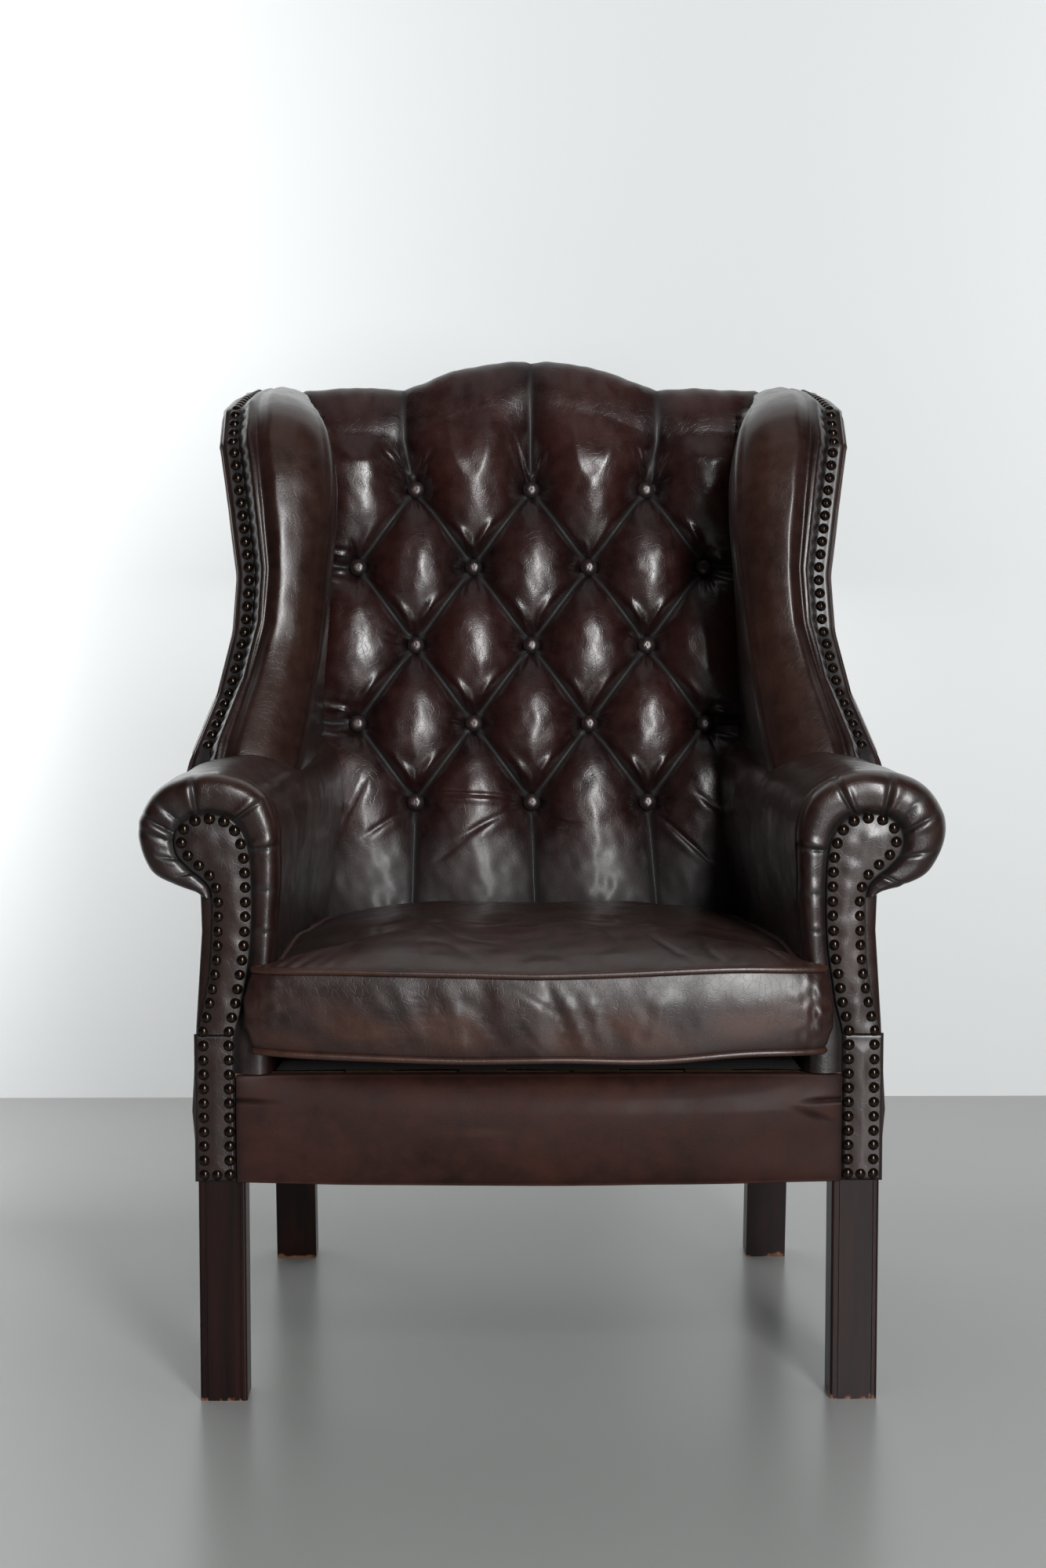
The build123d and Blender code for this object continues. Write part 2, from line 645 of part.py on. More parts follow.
for row in rows:
    for x, up in row:
        spot = Plane(origin=on_back(x, up, button_seat), x_dir=(1, 0, 0), z_dir=back_plane.z_dir)
        disc = Pos(0, 0, button_thick / 2) * Cylinder(button_radius, button_thick)
        disc = fillet(disc.edges().sort_by(Axis.Z)[-1], button_thick * button_edge_share)
        buttons.append(spot * disc)
save("back_buttons", group(buttons))

# Domed nails set close together along the facings and the wing edges.
dome_sphere = (nail_radius ** 2 + nail_height ** 2) / (2 * nail_height)


def dome(point, normal):
    """One nail head: a shallow dome with a flat back at a point, facing along the normal."""
    profile = make_face(Polyline((0, nail_height), (0, 0), (nail_radius, 0))
                        + RadiusArc((nail_radius, 0), (0, nail_height), -dome_sphere))
    cap = revolve(Plane.XZ * profile, axis=Axis.Z)
    return Plane(origin=point, z_dir=normal) * cap


def walk(points, pitch):
    """Evenly spaced points along a line of points."""
    lengths = [math.dist(a, b) for a, b in zip(points, points[1:])]
    total = sum(lengths)
    count = round(total / pitch)
    spots = []
    for i in range(count + 1):
        left = total * i / count
        for a, b, length in zip(points, points[1:], lengths):
            if left <= length + 1e-9:
                share = left / length
                spots.append((tuple(p + (q - p) * share for p, q in zip(a, b)),
                              tuple(q - p for p, q in zip(a, b))))
                break
            left -= length
    return spots


arm_nails = []
for (x, z), _ in walk(scroll_points, nail_pitch):
    arm_nails.append(dome((x, leg_face_y - facing_thick, z + nail_radius / 2), (0, -1, 0)))
low_nail_z = cover_edge_z + nail_radius + web_thick
low_count = int((facing_join_z - nail_radius - low_nail_z) / nail_pitch) + 1
for i in range(low_count):
    for x in (scroll_nail_x[0], scroll_nail_x[-1]):
        arm_nails.append(dome((x, leg_face_y - facing_thick, low_nail_z + i * nail_pitch), (0, -1, 0)))
arm_nails.append(dome(((scroll_nail_x[0] + scroll_nail_x[-1]) / 2, leg_face_y - facing_thick,
                       low_nail_z), (0, -1, 0)))
save_pair("arm_nails", group(arm_nails))
wing_line = list(zip(wing_nail_x, wing_nail_depth, wing_z))
wing_nails = []
for (x, d, z), (_, run_d, run_z) in walk(wing_line, nail_pitch):
    if z > arm_roll_z + arm_roll_half_height + nail_radius:
        span = math.hypot(run_d, run_z)
        normal = (0, -run_z / span, run_d / span)
        spot = (x, leg_face_y + d + normal[1] * hair_gap, z + normal[2] * hair_gap)
        wing_nails.append(dome(spot, normal) - wing_skin)
save_pair("wing_nails", group(wing_nails))

# Seat platform between the arms.
deck_end = post_depth - leather
deck_start = front_rail_setback + leather
deck_line = [(arm_inner_x(deck_start) - hair_gap, deck_start), (arm_inner_x(deck_end) - hair_gap, deck_end),
             (hair_gap - arm_inner_x(deck_end), deck_end), (hair_gap - arm_inner_x(deck_start), deck_start)]
seat_deck = plan_cut(deck_line, wall_low_z, wall_low_z + deck_thick - leather)
save("seat_deck", seat_deck)

# Loose cushion: boxed band between two welts, crowned above, lightly full below.


def cushion_face(z, share=1.0, inset=0.0, eared=False):
    """Cushion plan outline at a height, drawn in by an inset and then by a share."""
    mid = (cushion_front_depth + cushion_rear_depth) / 2
    front = cushion_front_depth + inset
    side = cushion_waist_front_x - inset
    half = [(side / 2, front - cushion_bow * cushion_bow_share), (side, front),
            (cushion_rear_x - inset, cushion_rear_depth - inset)]
    if eared:
        half = [(side / 2, front - cushion_bow * cushion_bow_share), (cushion_ear_x, front),
                (cushion_ear_x, cushion_ear_back), (side, cushion_ear_back + cushion_corner)] + half[2:]
    corners = [(0, front - cushion_bow)] + half + [(-x, d) for x, d in reversed(half)]
    corners = [(x * share, mid + (d - mid) * share) for x, d in corners]
    face = make_face(FilletPolyline(*corners, radius=cushion_corner * share, close=True))
    return Plane(origin=(0, leg_face_y, z)) * face


crown_shares = []
for i in range(crown_steps + 1):
    rise = i / crown_steps
    crown_shares.append((1 - crown_draw_share * rise ** crown_draw_power, math.sin(rise * math.pi / 2)))


def crown(base_z, rise, inset):
    """Rounded fullness over a flat outline, rising or sinking from a height."""
    return loft([cushion_face(base_z + up * rise, share, inset) for share, up in crown_shares], ruled=True)


cushion = extrude(cushion_face(cushion_low_z, eared=True), amount=cushion_high_z - cushion_low_z)
cushion += crown(cushion_high_z, cushion_crown, hair_gap)
cushion += crown(cushion_low_z, -cushion_sag, hair_gap)
core_high = cushion_high_z - core_inset / 2
core_low = cushion_low_z + core_inset / 2
core = extrude(cushion_face(core_low, inset=core_inset), amount=core_high - core_low)
core += crown(core_high, cushion_crown - core_inset, core_inset)
core += crown(core_low, core_inset - cushion_sag, core_inset)
welts = []
for z in (cushion_high_z, cushion_low_z):
    path = cushion_face(z, eared=True).face().outer_wire()
    start = path @ 0
    ring = Plane(origin=start, z_dir=path % 0) * Circle(welt_radius)
    welts.append(sweep(ring, path=path))
cushion = cushion - welts[0] - welts[1] - core
save("seat_cushion", cushion)
save("cushion_core", core)
save("cushion_welt_top", welts[0])
save("cushion_welt_bottom", welts[1])
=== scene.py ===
import math

import bpy
import numpy as np
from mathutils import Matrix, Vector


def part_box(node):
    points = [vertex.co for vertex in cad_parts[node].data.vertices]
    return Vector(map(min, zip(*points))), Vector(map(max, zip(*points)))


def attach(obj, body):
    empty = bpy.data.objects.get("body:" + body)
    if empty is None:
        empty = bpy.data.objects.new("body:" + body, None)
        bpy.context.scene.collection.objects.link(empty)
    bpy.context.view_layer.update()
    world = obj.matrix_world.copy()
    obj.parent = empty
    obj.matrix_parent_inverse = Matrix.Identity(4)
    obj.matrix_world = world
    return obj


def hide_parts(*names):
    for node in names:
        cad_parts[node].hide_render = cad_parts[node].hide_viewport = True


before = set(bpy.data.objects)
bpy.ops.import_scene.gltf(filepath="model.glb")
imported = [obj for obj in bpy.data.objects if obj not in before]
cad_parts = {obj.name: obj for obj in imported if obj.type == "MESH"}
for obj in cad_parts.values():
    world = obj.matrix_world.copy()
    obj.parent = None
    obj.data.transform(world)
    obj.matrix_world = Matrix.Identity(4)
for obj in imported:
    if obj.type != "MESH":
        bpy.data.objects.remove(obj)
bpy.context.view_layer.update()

# Camera: at chest height, three metres before the chair and a little to its left, tipped down
# slightly, with a moderate long lens on an upright frame. Its own lengths are in metres.
leg_face_y = -348.4
camera_ahead, camera_left, camera_height = 3.107, 0.0505, 0.950
tipped_down, turned = math.radians(5.58), 0.01088
camera_data = bpy.data.cameras.new("camera")
camera_data.sensor_fit = "VERTICAL"
camera_data.sensor_height = 36.0
camera_data.lens = 70.0
camera = bpy.data.objects.new("camera", camera_data)
camera.location = (-camera_left, leg_face_y / 1000 - camera_ahead, camera_height)
camera.rotation_euler = (math.pi / 2 - tipped_down, 0, -turned)
bpy.context.collection.objects.link(camera)
bpy.context.scene.camera = camera
bpy.context.scene.view_settings.view_transform = "Standard"

# Stage: a sealed floor of plain pale grey with a slight sheen, and a matt painted wall well behind
# the chair. Each is one flat sheet. From here on sizes are in millimetres, but for the lamps'.
stage_half, floor_end, wall_y, wall_top = 6000, 3200, 1240, 5000


def mesh_object(name, points, wrap_u=False, wrap_v=False, flip=False, marks=None):
    """Grid of points (rows, columns, xyz) in millimetres made into quads, smooth shaded. Each quad
    joins a point to the next in its row and the next row. marks are values from 0 to 1 per point,
    kept as attributes for the material to read."""
    rows, columns = points.shape[:2]
    index = np.arange(rows * columns).reshape(rows, columns)
    down = np.roll(index, -1, axis=0) if wrap_u else index[1:]
    here = index if wrap_u else index[:-1]
    if wrap_v:
        quads = np.stack([here, np.roll(here, -1, 1), np.roll(down, -1, 1), down], axis=-1)
    else:
        quads = np.stack([here[:, :-1], here[:, 1:], down[:, 1:], down[:, :-1]], axis=-1)
    quads = quads.reshape(-1, 4)
    if flip:
        quads = quads[:, ::-1]
    mesh = bpy.data.meshes.new(name)
    mesh.vertices.add(rows * columns)
    mesh.vertices.foreach_set("co", (points.reshape(-1) * 0.001).astype(np.float32))
    mesh.loops.add(quads.size)
    mesh.loops.foreach_set("vertex_index", quads.reshape(-1).astype(np.int32))
    mesh.polygons.add(len(quads))
    mesh.polygons.foreach_set("loop_start", np.arange(0, quads.size, 4, dtype=np.int32))
    mesh.polygons.foreach_set("use_smooth", np.ones(len(quads), dtype=bool))
    mesh.update(calc_edges=True)
    mesh.validate()
    for mark, values in (marks or {}).items():
        layer = mesh.attributes.new(mark, "FLOAT", "POINT")
        values = np.broadcast_to(np.clip(values, 0, 1), (rows, columns))
        layer.data.foreach_set("value", values.reshape(-1).astype(np.float32))
    piece = bpy.data.objects.new(name, mesh)
    bpy.context.collection.objects.link(piece)
    return piece


def linear(hex_colour):
    """sRGB hex to linear RGBA."""
    parts = [int(hex_colour[i:i + 2], 16) / 255 for i in (1, 3, 5)]
    return [p / 12.92 if p <= 0.04045 else ((p + 0.055) / 1.055) ** 2.4 for p in parts] + [1.0]


def new_material(name, settings):
    """Material whose surface shader has these settings, with its node tree and that shader."""
    material = bpy.data.materials.new(name)
    material.use_nodes = True
    shader = material.node_tree.nodes["Principled BSDF"]
    for key, value in settings.items():
        shader.inputs[key].default_value = value
    return material, material.node_tree, shader


def flat_sheet(name, edges, finish, colour, roughness):
    """One flat sheet between two edges, each given by its Y and height, in one even colour."""
    corners = np.array([[[-stage_half, y, z], [stage_half, y, z]] for y, z in edges], float)
    sheet = mesh_object(name, corners)
    material, *_ = new_material(finish, {"Base Color": linear(colour), "Roughness": roughness})
    sheet.data.materials.append(material)
    return sheet


floor = flat_sheet("floor", ((-stage_half, 0), (floor_end, 0)), "sealed_floor", "#8e8f8d", 0.28)
wall = flat_sheet("wall", ((wall_y, 0), (wall_y, wall_top)), "painted_wall", "#d4d6d6", 0.8)

# Light: a tall soft box at the right front, weak ones above the chair, behind it and before the wall,
# and an even room light. The room is darker in reflections, so that the polish keeps its depth.


def soft_box(name, place, aim, width, height, power):
    """Rectangular area lamp at a place, turned to face a point, in metres and watts."""
    data = bpy.data.lights.new(name, "AREA")
    data.shape = "RECTANGLE"
    data.size = width
    data.size_y = height
    data.energy = power
    lamp = bpy.data.objects.new(name, data)
    lamp.location = place
    way = [a - b for a, b in zip(aim, place)]
    flat = math.hypot(way[0], way[1])
    lamp.rotation_euler = (math.atan2(flat, -way[2]), 0, math.atan2(way[1], way[0]) - math.pi / 2)
    bpy.context.collection.objects.link(lamp)


def add_node(tree, kind, values=None, links=None):
    """One shader node. Values go to its properties or inputs. Links join its inputs to sockets, where
    a node stands for its first output."""
    node = tree.nodes.new("ShaderNode" + kind)
    for key, value in (values or {}).items():
        if isinstance(key, str) and hasattr(node, key):
            setattr(node, key, value)
        else:
            node.inputs[key].default_value = value
    for key, source in (links or {}).items():
        tree.links.new(getattr(source, "outputs", [source])[0], node.inputs[key])
    return node


soft_box("front_box", (1.0, -3.9, 1.9), (0, 0, 0.75), 0.6, 2.8, 150)
soft_box("top_box", (0.0, 0.5, 3.3), (0, 0.5, 0.4), 3.0, 1.2, 4)
soft_box("rear_box", (0.0, 1.0, 0.95), (0, 0.45, 0), 0.9, 0.3, 2.8)
soft_box("wall_left", (-1.45, 0.4, 1.2), (-1.45, 1.24, 1.2), 1.2, 2.0, 30)
soft_box("wall_right", (1.45, 0.4, 1.2), (1.45, 1.24, 1.2), 1.2, 2.0, 7)
world = bpy.data.worlds.new("room")
bpy.context.scene.world = world
world.use_nodes = True
room = world.node_tree.nodes["Background"]
room.inputs["Strength"].default_value = 1.0
seen = add_node(world.node_tree, "LightPath").outputs["Is Glossy Ray"]
shade = add_node(world.node_tree, "Mix", {"data_type": "RGBA", 6: linear("#b0b2b4"), 7: linear("#1c1c1d")},
                 {0: seen})
world.node_tree.links.new(shade.outputs[2], room.inputs["Color"])

# Frame: front legs and back posts of mahogany, stained nearly black and polished, and rails, boards
# and blocks of planed beech, which the upholstery hides. All of it is doweled and glued.


def wood_material(name, dark, light, gloss, level, chips=0.0):
    """Straight-grained wood along Z: stretched noise between a dark and a light shade. Near the floor
    a second noise, where it is high, bares the wood in chips."""
    material, tree, shader = new_material(name, {"Roughness": gloss, "Specular IOR Level": level})
    place = {"Vector": add_node(tree, "TexCoord").outputs["Object"]}
    grain_wide, grain_long, knock_size = 16.666667, 312.5, 14.285714
    drawn = add_node(tree, "Mapping",
                     {"Scale": (1000 / grain_wide, 1000 / grain_wide, 1000 / grain_long)}, place)
    grain = add_node(tree, "TexNoise", {"Scale": 1.0, "Detail": 6.0, "Roughness": 0.6},
                     {"Vector": drawn})
    stain = add_node(tree, "ValToRGB", links={0: grain})
    for stop, position, colour in zip(stain.color_ramp.elements, (0.35, 0.7), (dark, light)):
        stop.position, stop.color = position, linear(colour)
    height = add_node(tree, "SeparateXYZ", links=place)
    near_floor = add_node(tree, "MapRange", {1: 0.0, 2: 0.020, 3: chips, 4: 0.0},
                          {0: height.outputs["Z"]})
    knocks = add_node(tree, "TexNoise", {"Scale": 1000 / knock_size, "Detail": 5.0}, place)
    bared = add_node(tree, "Math", {"operation": "MULTIPLY_ADD", 2: -0.44},
                     {0: near_floor, 1: knocks})
    sharp = add_node(tree, "Math", {"operation": "MULTIPLY", 1: 12.0, "use_clamp": True}, {0: bared})
    worn = add_node(tree, "Mix", {"data_type": "RGBA", 7: linear("#7c5340")}, {0: sharp, 6: stain})
    bump = add_node(tree, "Bump", {"Strength": 0.15, "Distance": 0.0004}, {"Height": grain})
    tree.links.new(worn.outputs[2], shader.inputs["Base Color"])
    tree.links.new(bump.outputs[0], shader.inputs["Normal"])
    return material


# Mahogany, stained and French polished: almost black with a red cast, softly glossy, pale where the
# feet are chipped. Beech, planed and left bare: pale straw, even and matt.
mahogany = wood_material("stained_mahogany", "#0c0403", "#28100b", 0.36, 0.3, chips=1.0)
beech = wood_material("planed_beech", "#a9845a", "#c9a87c", 0.6, 0.5)
for node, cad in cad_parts.items():
    cad.data.materials.clear()
    cad.data.materials.append(mahogany if "leg" in node or "back_post" in node else beech)

# Webbing: jute bands 50 mm wide, strained over the seat frame in two crossed layers and tacked to
# its rails, and in the same way behind the back pad. They carry platform and padding.
post_depth, rail_top = 558.0, 342.0
lean = math.atan2(126.0, 698.0)
half_band, band_thick = 25.0, 0.95


def placed(x, depth, z):
    """Points from X, depth behind the front faces of the legs, and height, spread to one grid."""
    return np.stack(np.broadcast_arrays(x, depth + leg_face_y, z), axis=-1)


def on_back(x, up, out):
    """Points from X, distance up the sloping back and distance out to the front: both distances are
    turned by the back's lean."""
    y = leg_face_y + post_depth + up * math.sin(lean) - out * math.cos(lean)
    z = rail_top + up * math.cos(lean) + out * math.sin(lean)
    return np.stack(np.broadcast_arrays(x, y, z), axis=-1)


def cloth_material(name, dark, light, rough, pitch):
    """Plain-woven cloth: two wave patterns across each other, one wave per thread, whose product runs
    from a dark to a light shade. The pitch of the threads is in millimetres."""
    material, tree, shader = new_material(name, {"Roughness": rough})
    place = {"Vector": add_node(tree, "TexCoord").outputs["Object"]}
    # At scale 1 the wave pattern turns by 20 radians in a metre.
    scale = 2 * math.pi / (pitch / 1000) / 20
    across, along = (add_node(tree, "TexWave", {"bands_direction": way, "Scale": scale, "Distortion": 0.4},
                              place).outputs["Fac"] for way in "XY")
    both = add_node(tree, "Math", {"operation": "MULTIPLY"}, {0: across, 1: along})
    dye = add_node(tree, "ValToRGB", links={0: both})
    for stop, colour in zip(dye.color_ramp.elements, (dark, light)):
        stop.color = linear(colour)
    bump = add_node(tree, "Bump", {"Strength": 0.3, "Distance": 0.0005}, {"Height": both})
    tree.links.new(dye.outputs[0], shader.inputs["Base Color"])
    tree.links.new(bump.outputs[0], shader.inputs["Normal"])
    return material


def fit(piece, material, slot, *nodes, body="chair"):
    """Gives a piece its material, its body and the solids that it stands for. Its slot is not used."""
    piece.data.materials.append(material)
    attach(piece, body)
    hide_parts(*nodes)


# Jute, unbleached and woven: dull straw with a coarse matt thread.
jute = cloth_material("jute_webbing", "#6d5636", "#a58a5c", 0.9, 2.6179939)
band_ring = np.linspace(0, 2 * np.pi, 17)[:-1]
band_wide = half_band * np.sign(np.cos(band_ring)) * np.abs(np.cos(band_ring)) ** 0.5
band_high = band_thick * np.sign(np.sin(band_ring)) * np.abs(np.sin(band_ring)) ** 0.5
band_run = np.linspace(-1, 1, 90)[:, None]


def web_band(name, node, middle, ends, level, lengthwise, sloping):
    """One strained band, along X or lengthwise, flat on the seat or sloping with the back: a flat
    rounded ring carried from end to end, a little narrower and thicker in slow waves."""
    along = (ends[0] + ends[1]) / 2 + (ends[1] - ends[0]) / 2 * band_run
    across = middle + band_wide * (1 - 0.012 * np.cos(9 * band_run)) + 0.4 * np.sin(7 * band_run + middle)
    high = level + band_high + 0.04 * np.sin(60 * band_run)
    x, way = (across, along) if lengthwise else (along, across)
    points = on_back(x, way, high) if sloping else placed(x, way, rail_top + high)
    fit(mesh_object(name, points, wrap_v=True), jute, "webbing", node)


for order in range(4):
    step = (order - 1.5) * 118.0
    web_band(f"seat_band_long_{order + 1}", "seat_webbing_long", step, (12, 585), 1.0, True, False)
    web_band(f"seat_band_cross_{order + 1}", "seat_webbing_cross", step + 297,
             (8 * order - 333, 333 - 8 * order), 3.0, False, False)
for order in range(5):
    web_band(f"back_band_cross_{order + 1}", "back_webbing_cross", 165 + order * 112.0, (-289, 289), 1.0,
             False, True)
for order in range(3):
    web_band(f"back_band_upright_{order + 1}", "back_webbing_upright", (order - 1) * 150.0, (91, 714), 3.0,
             True, True)

# Seat platform: heavy dark cloth over a thin pad on the webbing, under the cushion, tacked down
# along the rails and the arm walls.
deck_front, deck_rear, deck_half_front, deck_taper = 14, 548, 273.5, 28


def ramp(way, run):
    """0 below nothing, 1 above the run, and even between them."""
    return np.clip(way / run, 0, 1)


def bell(gap, wide, power=2):
    """1 where there is no gap, falling off on both sides: e to minus a power of gap over width."""
    return np.exp(-np.abs(gap / wide) ** power)


def waves(a, b, length, seed, count=14):
    """Smooth uneven field round nothing: a mean of cosine waves of about one length, in every
    direction, each with its own phase."""
    pick = np.random.default_rng(seed)
    angle = pick.uniform(0, 2 * np.pi, count)
    size = 2 * np.pi / (length * pick.uniform(0.65, 1.5, count))
    phase = pick.uniform(0, 2 * np.pi, count)
    total = 0
    for turn, rate, shift in zip(angle, size, phase):
        total = total + np.cos(rate * (a * np.cos(turn) + b * np.sin(turn)) + shift)
    return total / math.sqrt(count)


deck_x, deck_d = np.meshgrid(np.linspace(-1, 1, 90), np.linspace(deck_front, deck_rear, 100))
deck_half = deck_half_front - deck_taper * deck_d / post_depth
deck_rim = np.minimum((1 - np.abs(deck_x)) * deck_half, np.minimum(deck_d - deck_front, deck_rear - deck_d))
deck_z = 353.5 + 4 * ramp(deck_rim, 30) ** 0.5 + 0.5 * waves(deck_x * 270, deck_d, 90, 111)
deck_z = deck_z - 6 * bell(deck_rim, 2)
deck_piece = mesh_object("seat_platform", placed(deck_x * deck_half, deck_d, deck_z))
# Cotton cloth, dyed black-brown and woven close: matt, with no shine at all.
deck_cloth = cloth_material("platform_cloth", "#141212", "#24201f", 0.9, 1.7453293)
fit(deck_piece, deck_cloth, "deck_cloth", "seat_deck")

# Inside back: one hide over curled hair, drawn in by seventeen buttons. The spare leather is folded
# into pleats that run from button to button, up over the camel top and down behind the cushion.
column_pitch, row_pitch, low_row = 141.0, 96.0, 226.0
half_width, pad_foot, plain_top, even_top = 262.0, 14.0, 636.0, 690.0
roll_length, rear_length, rear_drop = 95.0, 40.0, 26.0
crest_base, crest_drop, crest_axis, even_radius, rear_radius = 343.8, 60.0, -4.0, 31.0, 38.0
button_floor, tie_out, hide_under, full_height = 16.5, 17.0, 7.0, 34.0
grid_step, stuffing_push, foot_height, last_height = 2.2, 0.0255, 22.0, 27.0


def camel_height(x):
    """Height of the back's crest: a raised cosine hump 160 mm each side of the middle."""
    hump = 0.5 + 0.5 * np.cos(np.pi * np.clip(np.abs(x) / 160, 0, 1))
    return 1066 + 3.5 * (1 - np.abs(x) / 280) + 32.4 * hump ** 0.8


def soft_step(way, run):
    """From 0 to 1 round the place where way is nothing, on a logistic curve."""
    return 1 / (1 + np.exp(-way / run))


def smooth_line(stations, count):
    """Catmull-Rom curve through stations on the last axis but one, read at count even steps."""
    last = stations.shape[-2] - 1
    t = np.linspace(0, last, count)
    i = np.minimum(t.astype(int), last - 1)
    f = (t - i)[:, None]
    p0, p1, p2, p3 = (stations[..., np.clip(i + k, 0, last), :] for k in (-1, 0, 1, 2))
    return 0.5 * (2 * p1 + (p2 - p0) * f + (2 * p0 - 5 * p1 + 4 * p2 - p3) * f ** 2
                  + (3 * p1 - p0 - 3 * p2 + p3) * f ** 3)


def segment_distance(x, t, start, end):
    """Distance from points to a segment, the share of it that is nearest, and the side they lie on."""
    run_x, run_t = end[0] - start[0], end[1] - start[1]
    length = math.hypot(run_x, run_t)
    share = np.clip(((x - start[0]) * run_x + (t - start[1]) * run_t) / length ** 2, 0, 1)
    gap_x, gap_t = x - start[0] - share * run_x, t - start[1] - share * run_t
    return np.hypot(gap_x, gap_t), share, np.sign(gap_x * run_t - gap_t * run_x)


def leather_material(name, dark, middle, rubbed, gloss, rub_tint, coat=0.45, level=0.5):
    """Stained and rubbed hide: two noises run from dark to middle, the rub mark lightens it, and a second
    mark darkens it with painted shade, in creases and seams, and dulls it. Three bumps lie on one another:
    pebble, age lines and slack swellings."""
    material, tree, shader = new_material(name, {
        "IOR": 1.5, "Specular IOR Level": level, "Coat Weight": coat, "Coat Roughness": 0.22})
    place = {"Vector": add_node(tree, "TexCoord").outputs["Object"]}
    # Sizes in millimetres. The pebble is drawn a little coarser than the real one, to show.
    cloud_size, spot_size, bend_size = 111.11111, 21.73913, 33.333333
    swell_size, age_size, pebble_size = 14.285714, 9.5238095, 1.6129032
    clouds = add_node(tree, "TexNoise",
                      {"Scale": 1000 / cloud_size, "Detail": 5.0, "Roughness": 0.62}, place)
    spots = add_node(tree, "TexNoise",
                     {"Scale": 1000 / spot_size, "Detail": 4.0, "Roughness": 0.6}, place)
    painted_shade_dull, rub = (add_node(tree, "Attribute", {"attribute_name": mark}).outputs["Fac"]
                 for mark in ("painted_shade_dull", "rub"))
    spot_share = add_node(tree, "Math", {"operation": "MULTIPLY", 1: 0.45}, {0: spots})
    mixed = add_node(tree, "Math", {"operation": "MULTIPLY_ADD", 1: 0.55}, {0: clouds, 2: spot_share})
    stain = add_node(tree, "ValToRGB", links={0: mixed})
    for stop, position, colour in zip(stain.color_ramp.elements, (0.36, 0.66), (dark, middle)):
        stop.position, stop.color = position, linear(colour)
    worn = add_node(tree, "Math", {"operation": "MULTIPLY", 1: rub_tint}, {0: rub})
    worn_cloud = add_node(tree, "Math", {"operation": "MULTIPLY"}, {0: worn, 1: mixed})
    lighter = add_node(tree, "Mix", {"data_type": "RGBA", 7: linear(rubbed)}, {0: worn_cloud, 6: stain})
    # Painted shade: where the shade mark is high, the colour goes to near black.
    painted_shade_mix = add_node(tree, "Mix", {"data_type": "RGBA", 7: linear("#0a0606")},
                      {0: painted_shade_dull, 6: lighter.outputs[2]})
    pebble = add_node(tree, "TexVoronoi", {"Scale": 1000 / pebble_size}, place)
    wander = add_node(tree, "TexNoise", {"Scale": 1000 / bend_size, "Detail": 3.0}, place)
    bent = add_node(tree, "MixRGB", {"blend_type": "ADD", 0: 0.03},
                    {1: place["Vector"], 2: wander.outputs["Color"]})
    age = add_node(tree, "TexVoronoi", {"feature": "DISTANCE_TO_EDGE", "Scale": 1000 / age_size},
                   {"Vector": bent})
    age_line = add_node(tree, "MapRange", {1: 0.0, 2: 0.05, 3: 0.0, 4: 1.0}, {0: age})
    swelling = add_node(tree, "TexNoise", {"Scale": 1000 / swell_size, "Detail": 3.0}, place)
    under = {}
    for strength, deep, relief in ((0.10, 0.0006, pebble), (0.16, 0.0005, age_line),
                                   (0.10, 0.0012, swelling)):
        bump = add_node(tree, "Bump", {"Strength": strength, "Distance": deep},
                        {"Height": relief, **under})
        under = {"Normal": bump}
    rough = add_node(tree, "MapRange", {1: 0.3, 2: 0.7, 3: gloss - 0.06, 4: gloss + 0.08}, {0: spots})
    dull = add_node(tree, "Math", {"operation": "MULTIPLY_ADD", 1: 0.5}, {0: painted_shade_dull, 2: rough})
    for key, source in (("Base Color", painted_shade_mix.outputs[2]), ("Normal", bump.outputs[0]),
                        ("Roughness", dull.outputs[0])):
        tree.links.new(source, shader.inputs[key])
    return material


def dress(piece, material, *nodes, body="chair", fill=0.9):
    """Fits a padded leather piece. Its fill, how full it is, is not used."""
    fit(piece, material, "leather", *nodes, body=body)


# Cow hide, aniline stained oxblood, rubbed by hand to an antique finish and lacquered: painted shade makes it
# nearly black in the folds, browner where it is rubbed, with a fine pebble and the glossiest polish of the
# chair.
back_leather = leather_material("back_hide", "#110707", "#2a1311", "#4a251e", 0.31, 0.55,
                                coat=0.15, level=0.65)
button_places = []
for row in range(5):
    shares = (-1, 0, 1) if row % 2 == 0 else (-1.5, -0.5, 0.5, 1.5)
    button_places.append([(share * column_pitch, low_row + row * row_pitch) for share in shares])
buttons = [place for row in button_places for place in row]
# Each pleat: its start and end, how far out it is held at each, and how much it rises between.
pleats = [(a, b, tie_out, tie_out, 19.0) for low, high in zip(button_places, button_places[1:])
          for a in low for b in high if abs(a[0] - b[0]) < column_pitch]
pleats += [((x, up), (x * 1.02, 790.0), tie_out, 30.0, 8.0) for x, up in button_places[-1]]
pleats += [((x, up), (x * 1.08 + 6, 10.0), tie_out, 23.0, 12.0) for x, up in button_places[0]]
pleats += [((x, up), (x * 1.28, up + 4), tie_out, 18.0, 4.0) for row in (button_places[1], button_places[3])
           for x, up in (row[0], row[-1])]

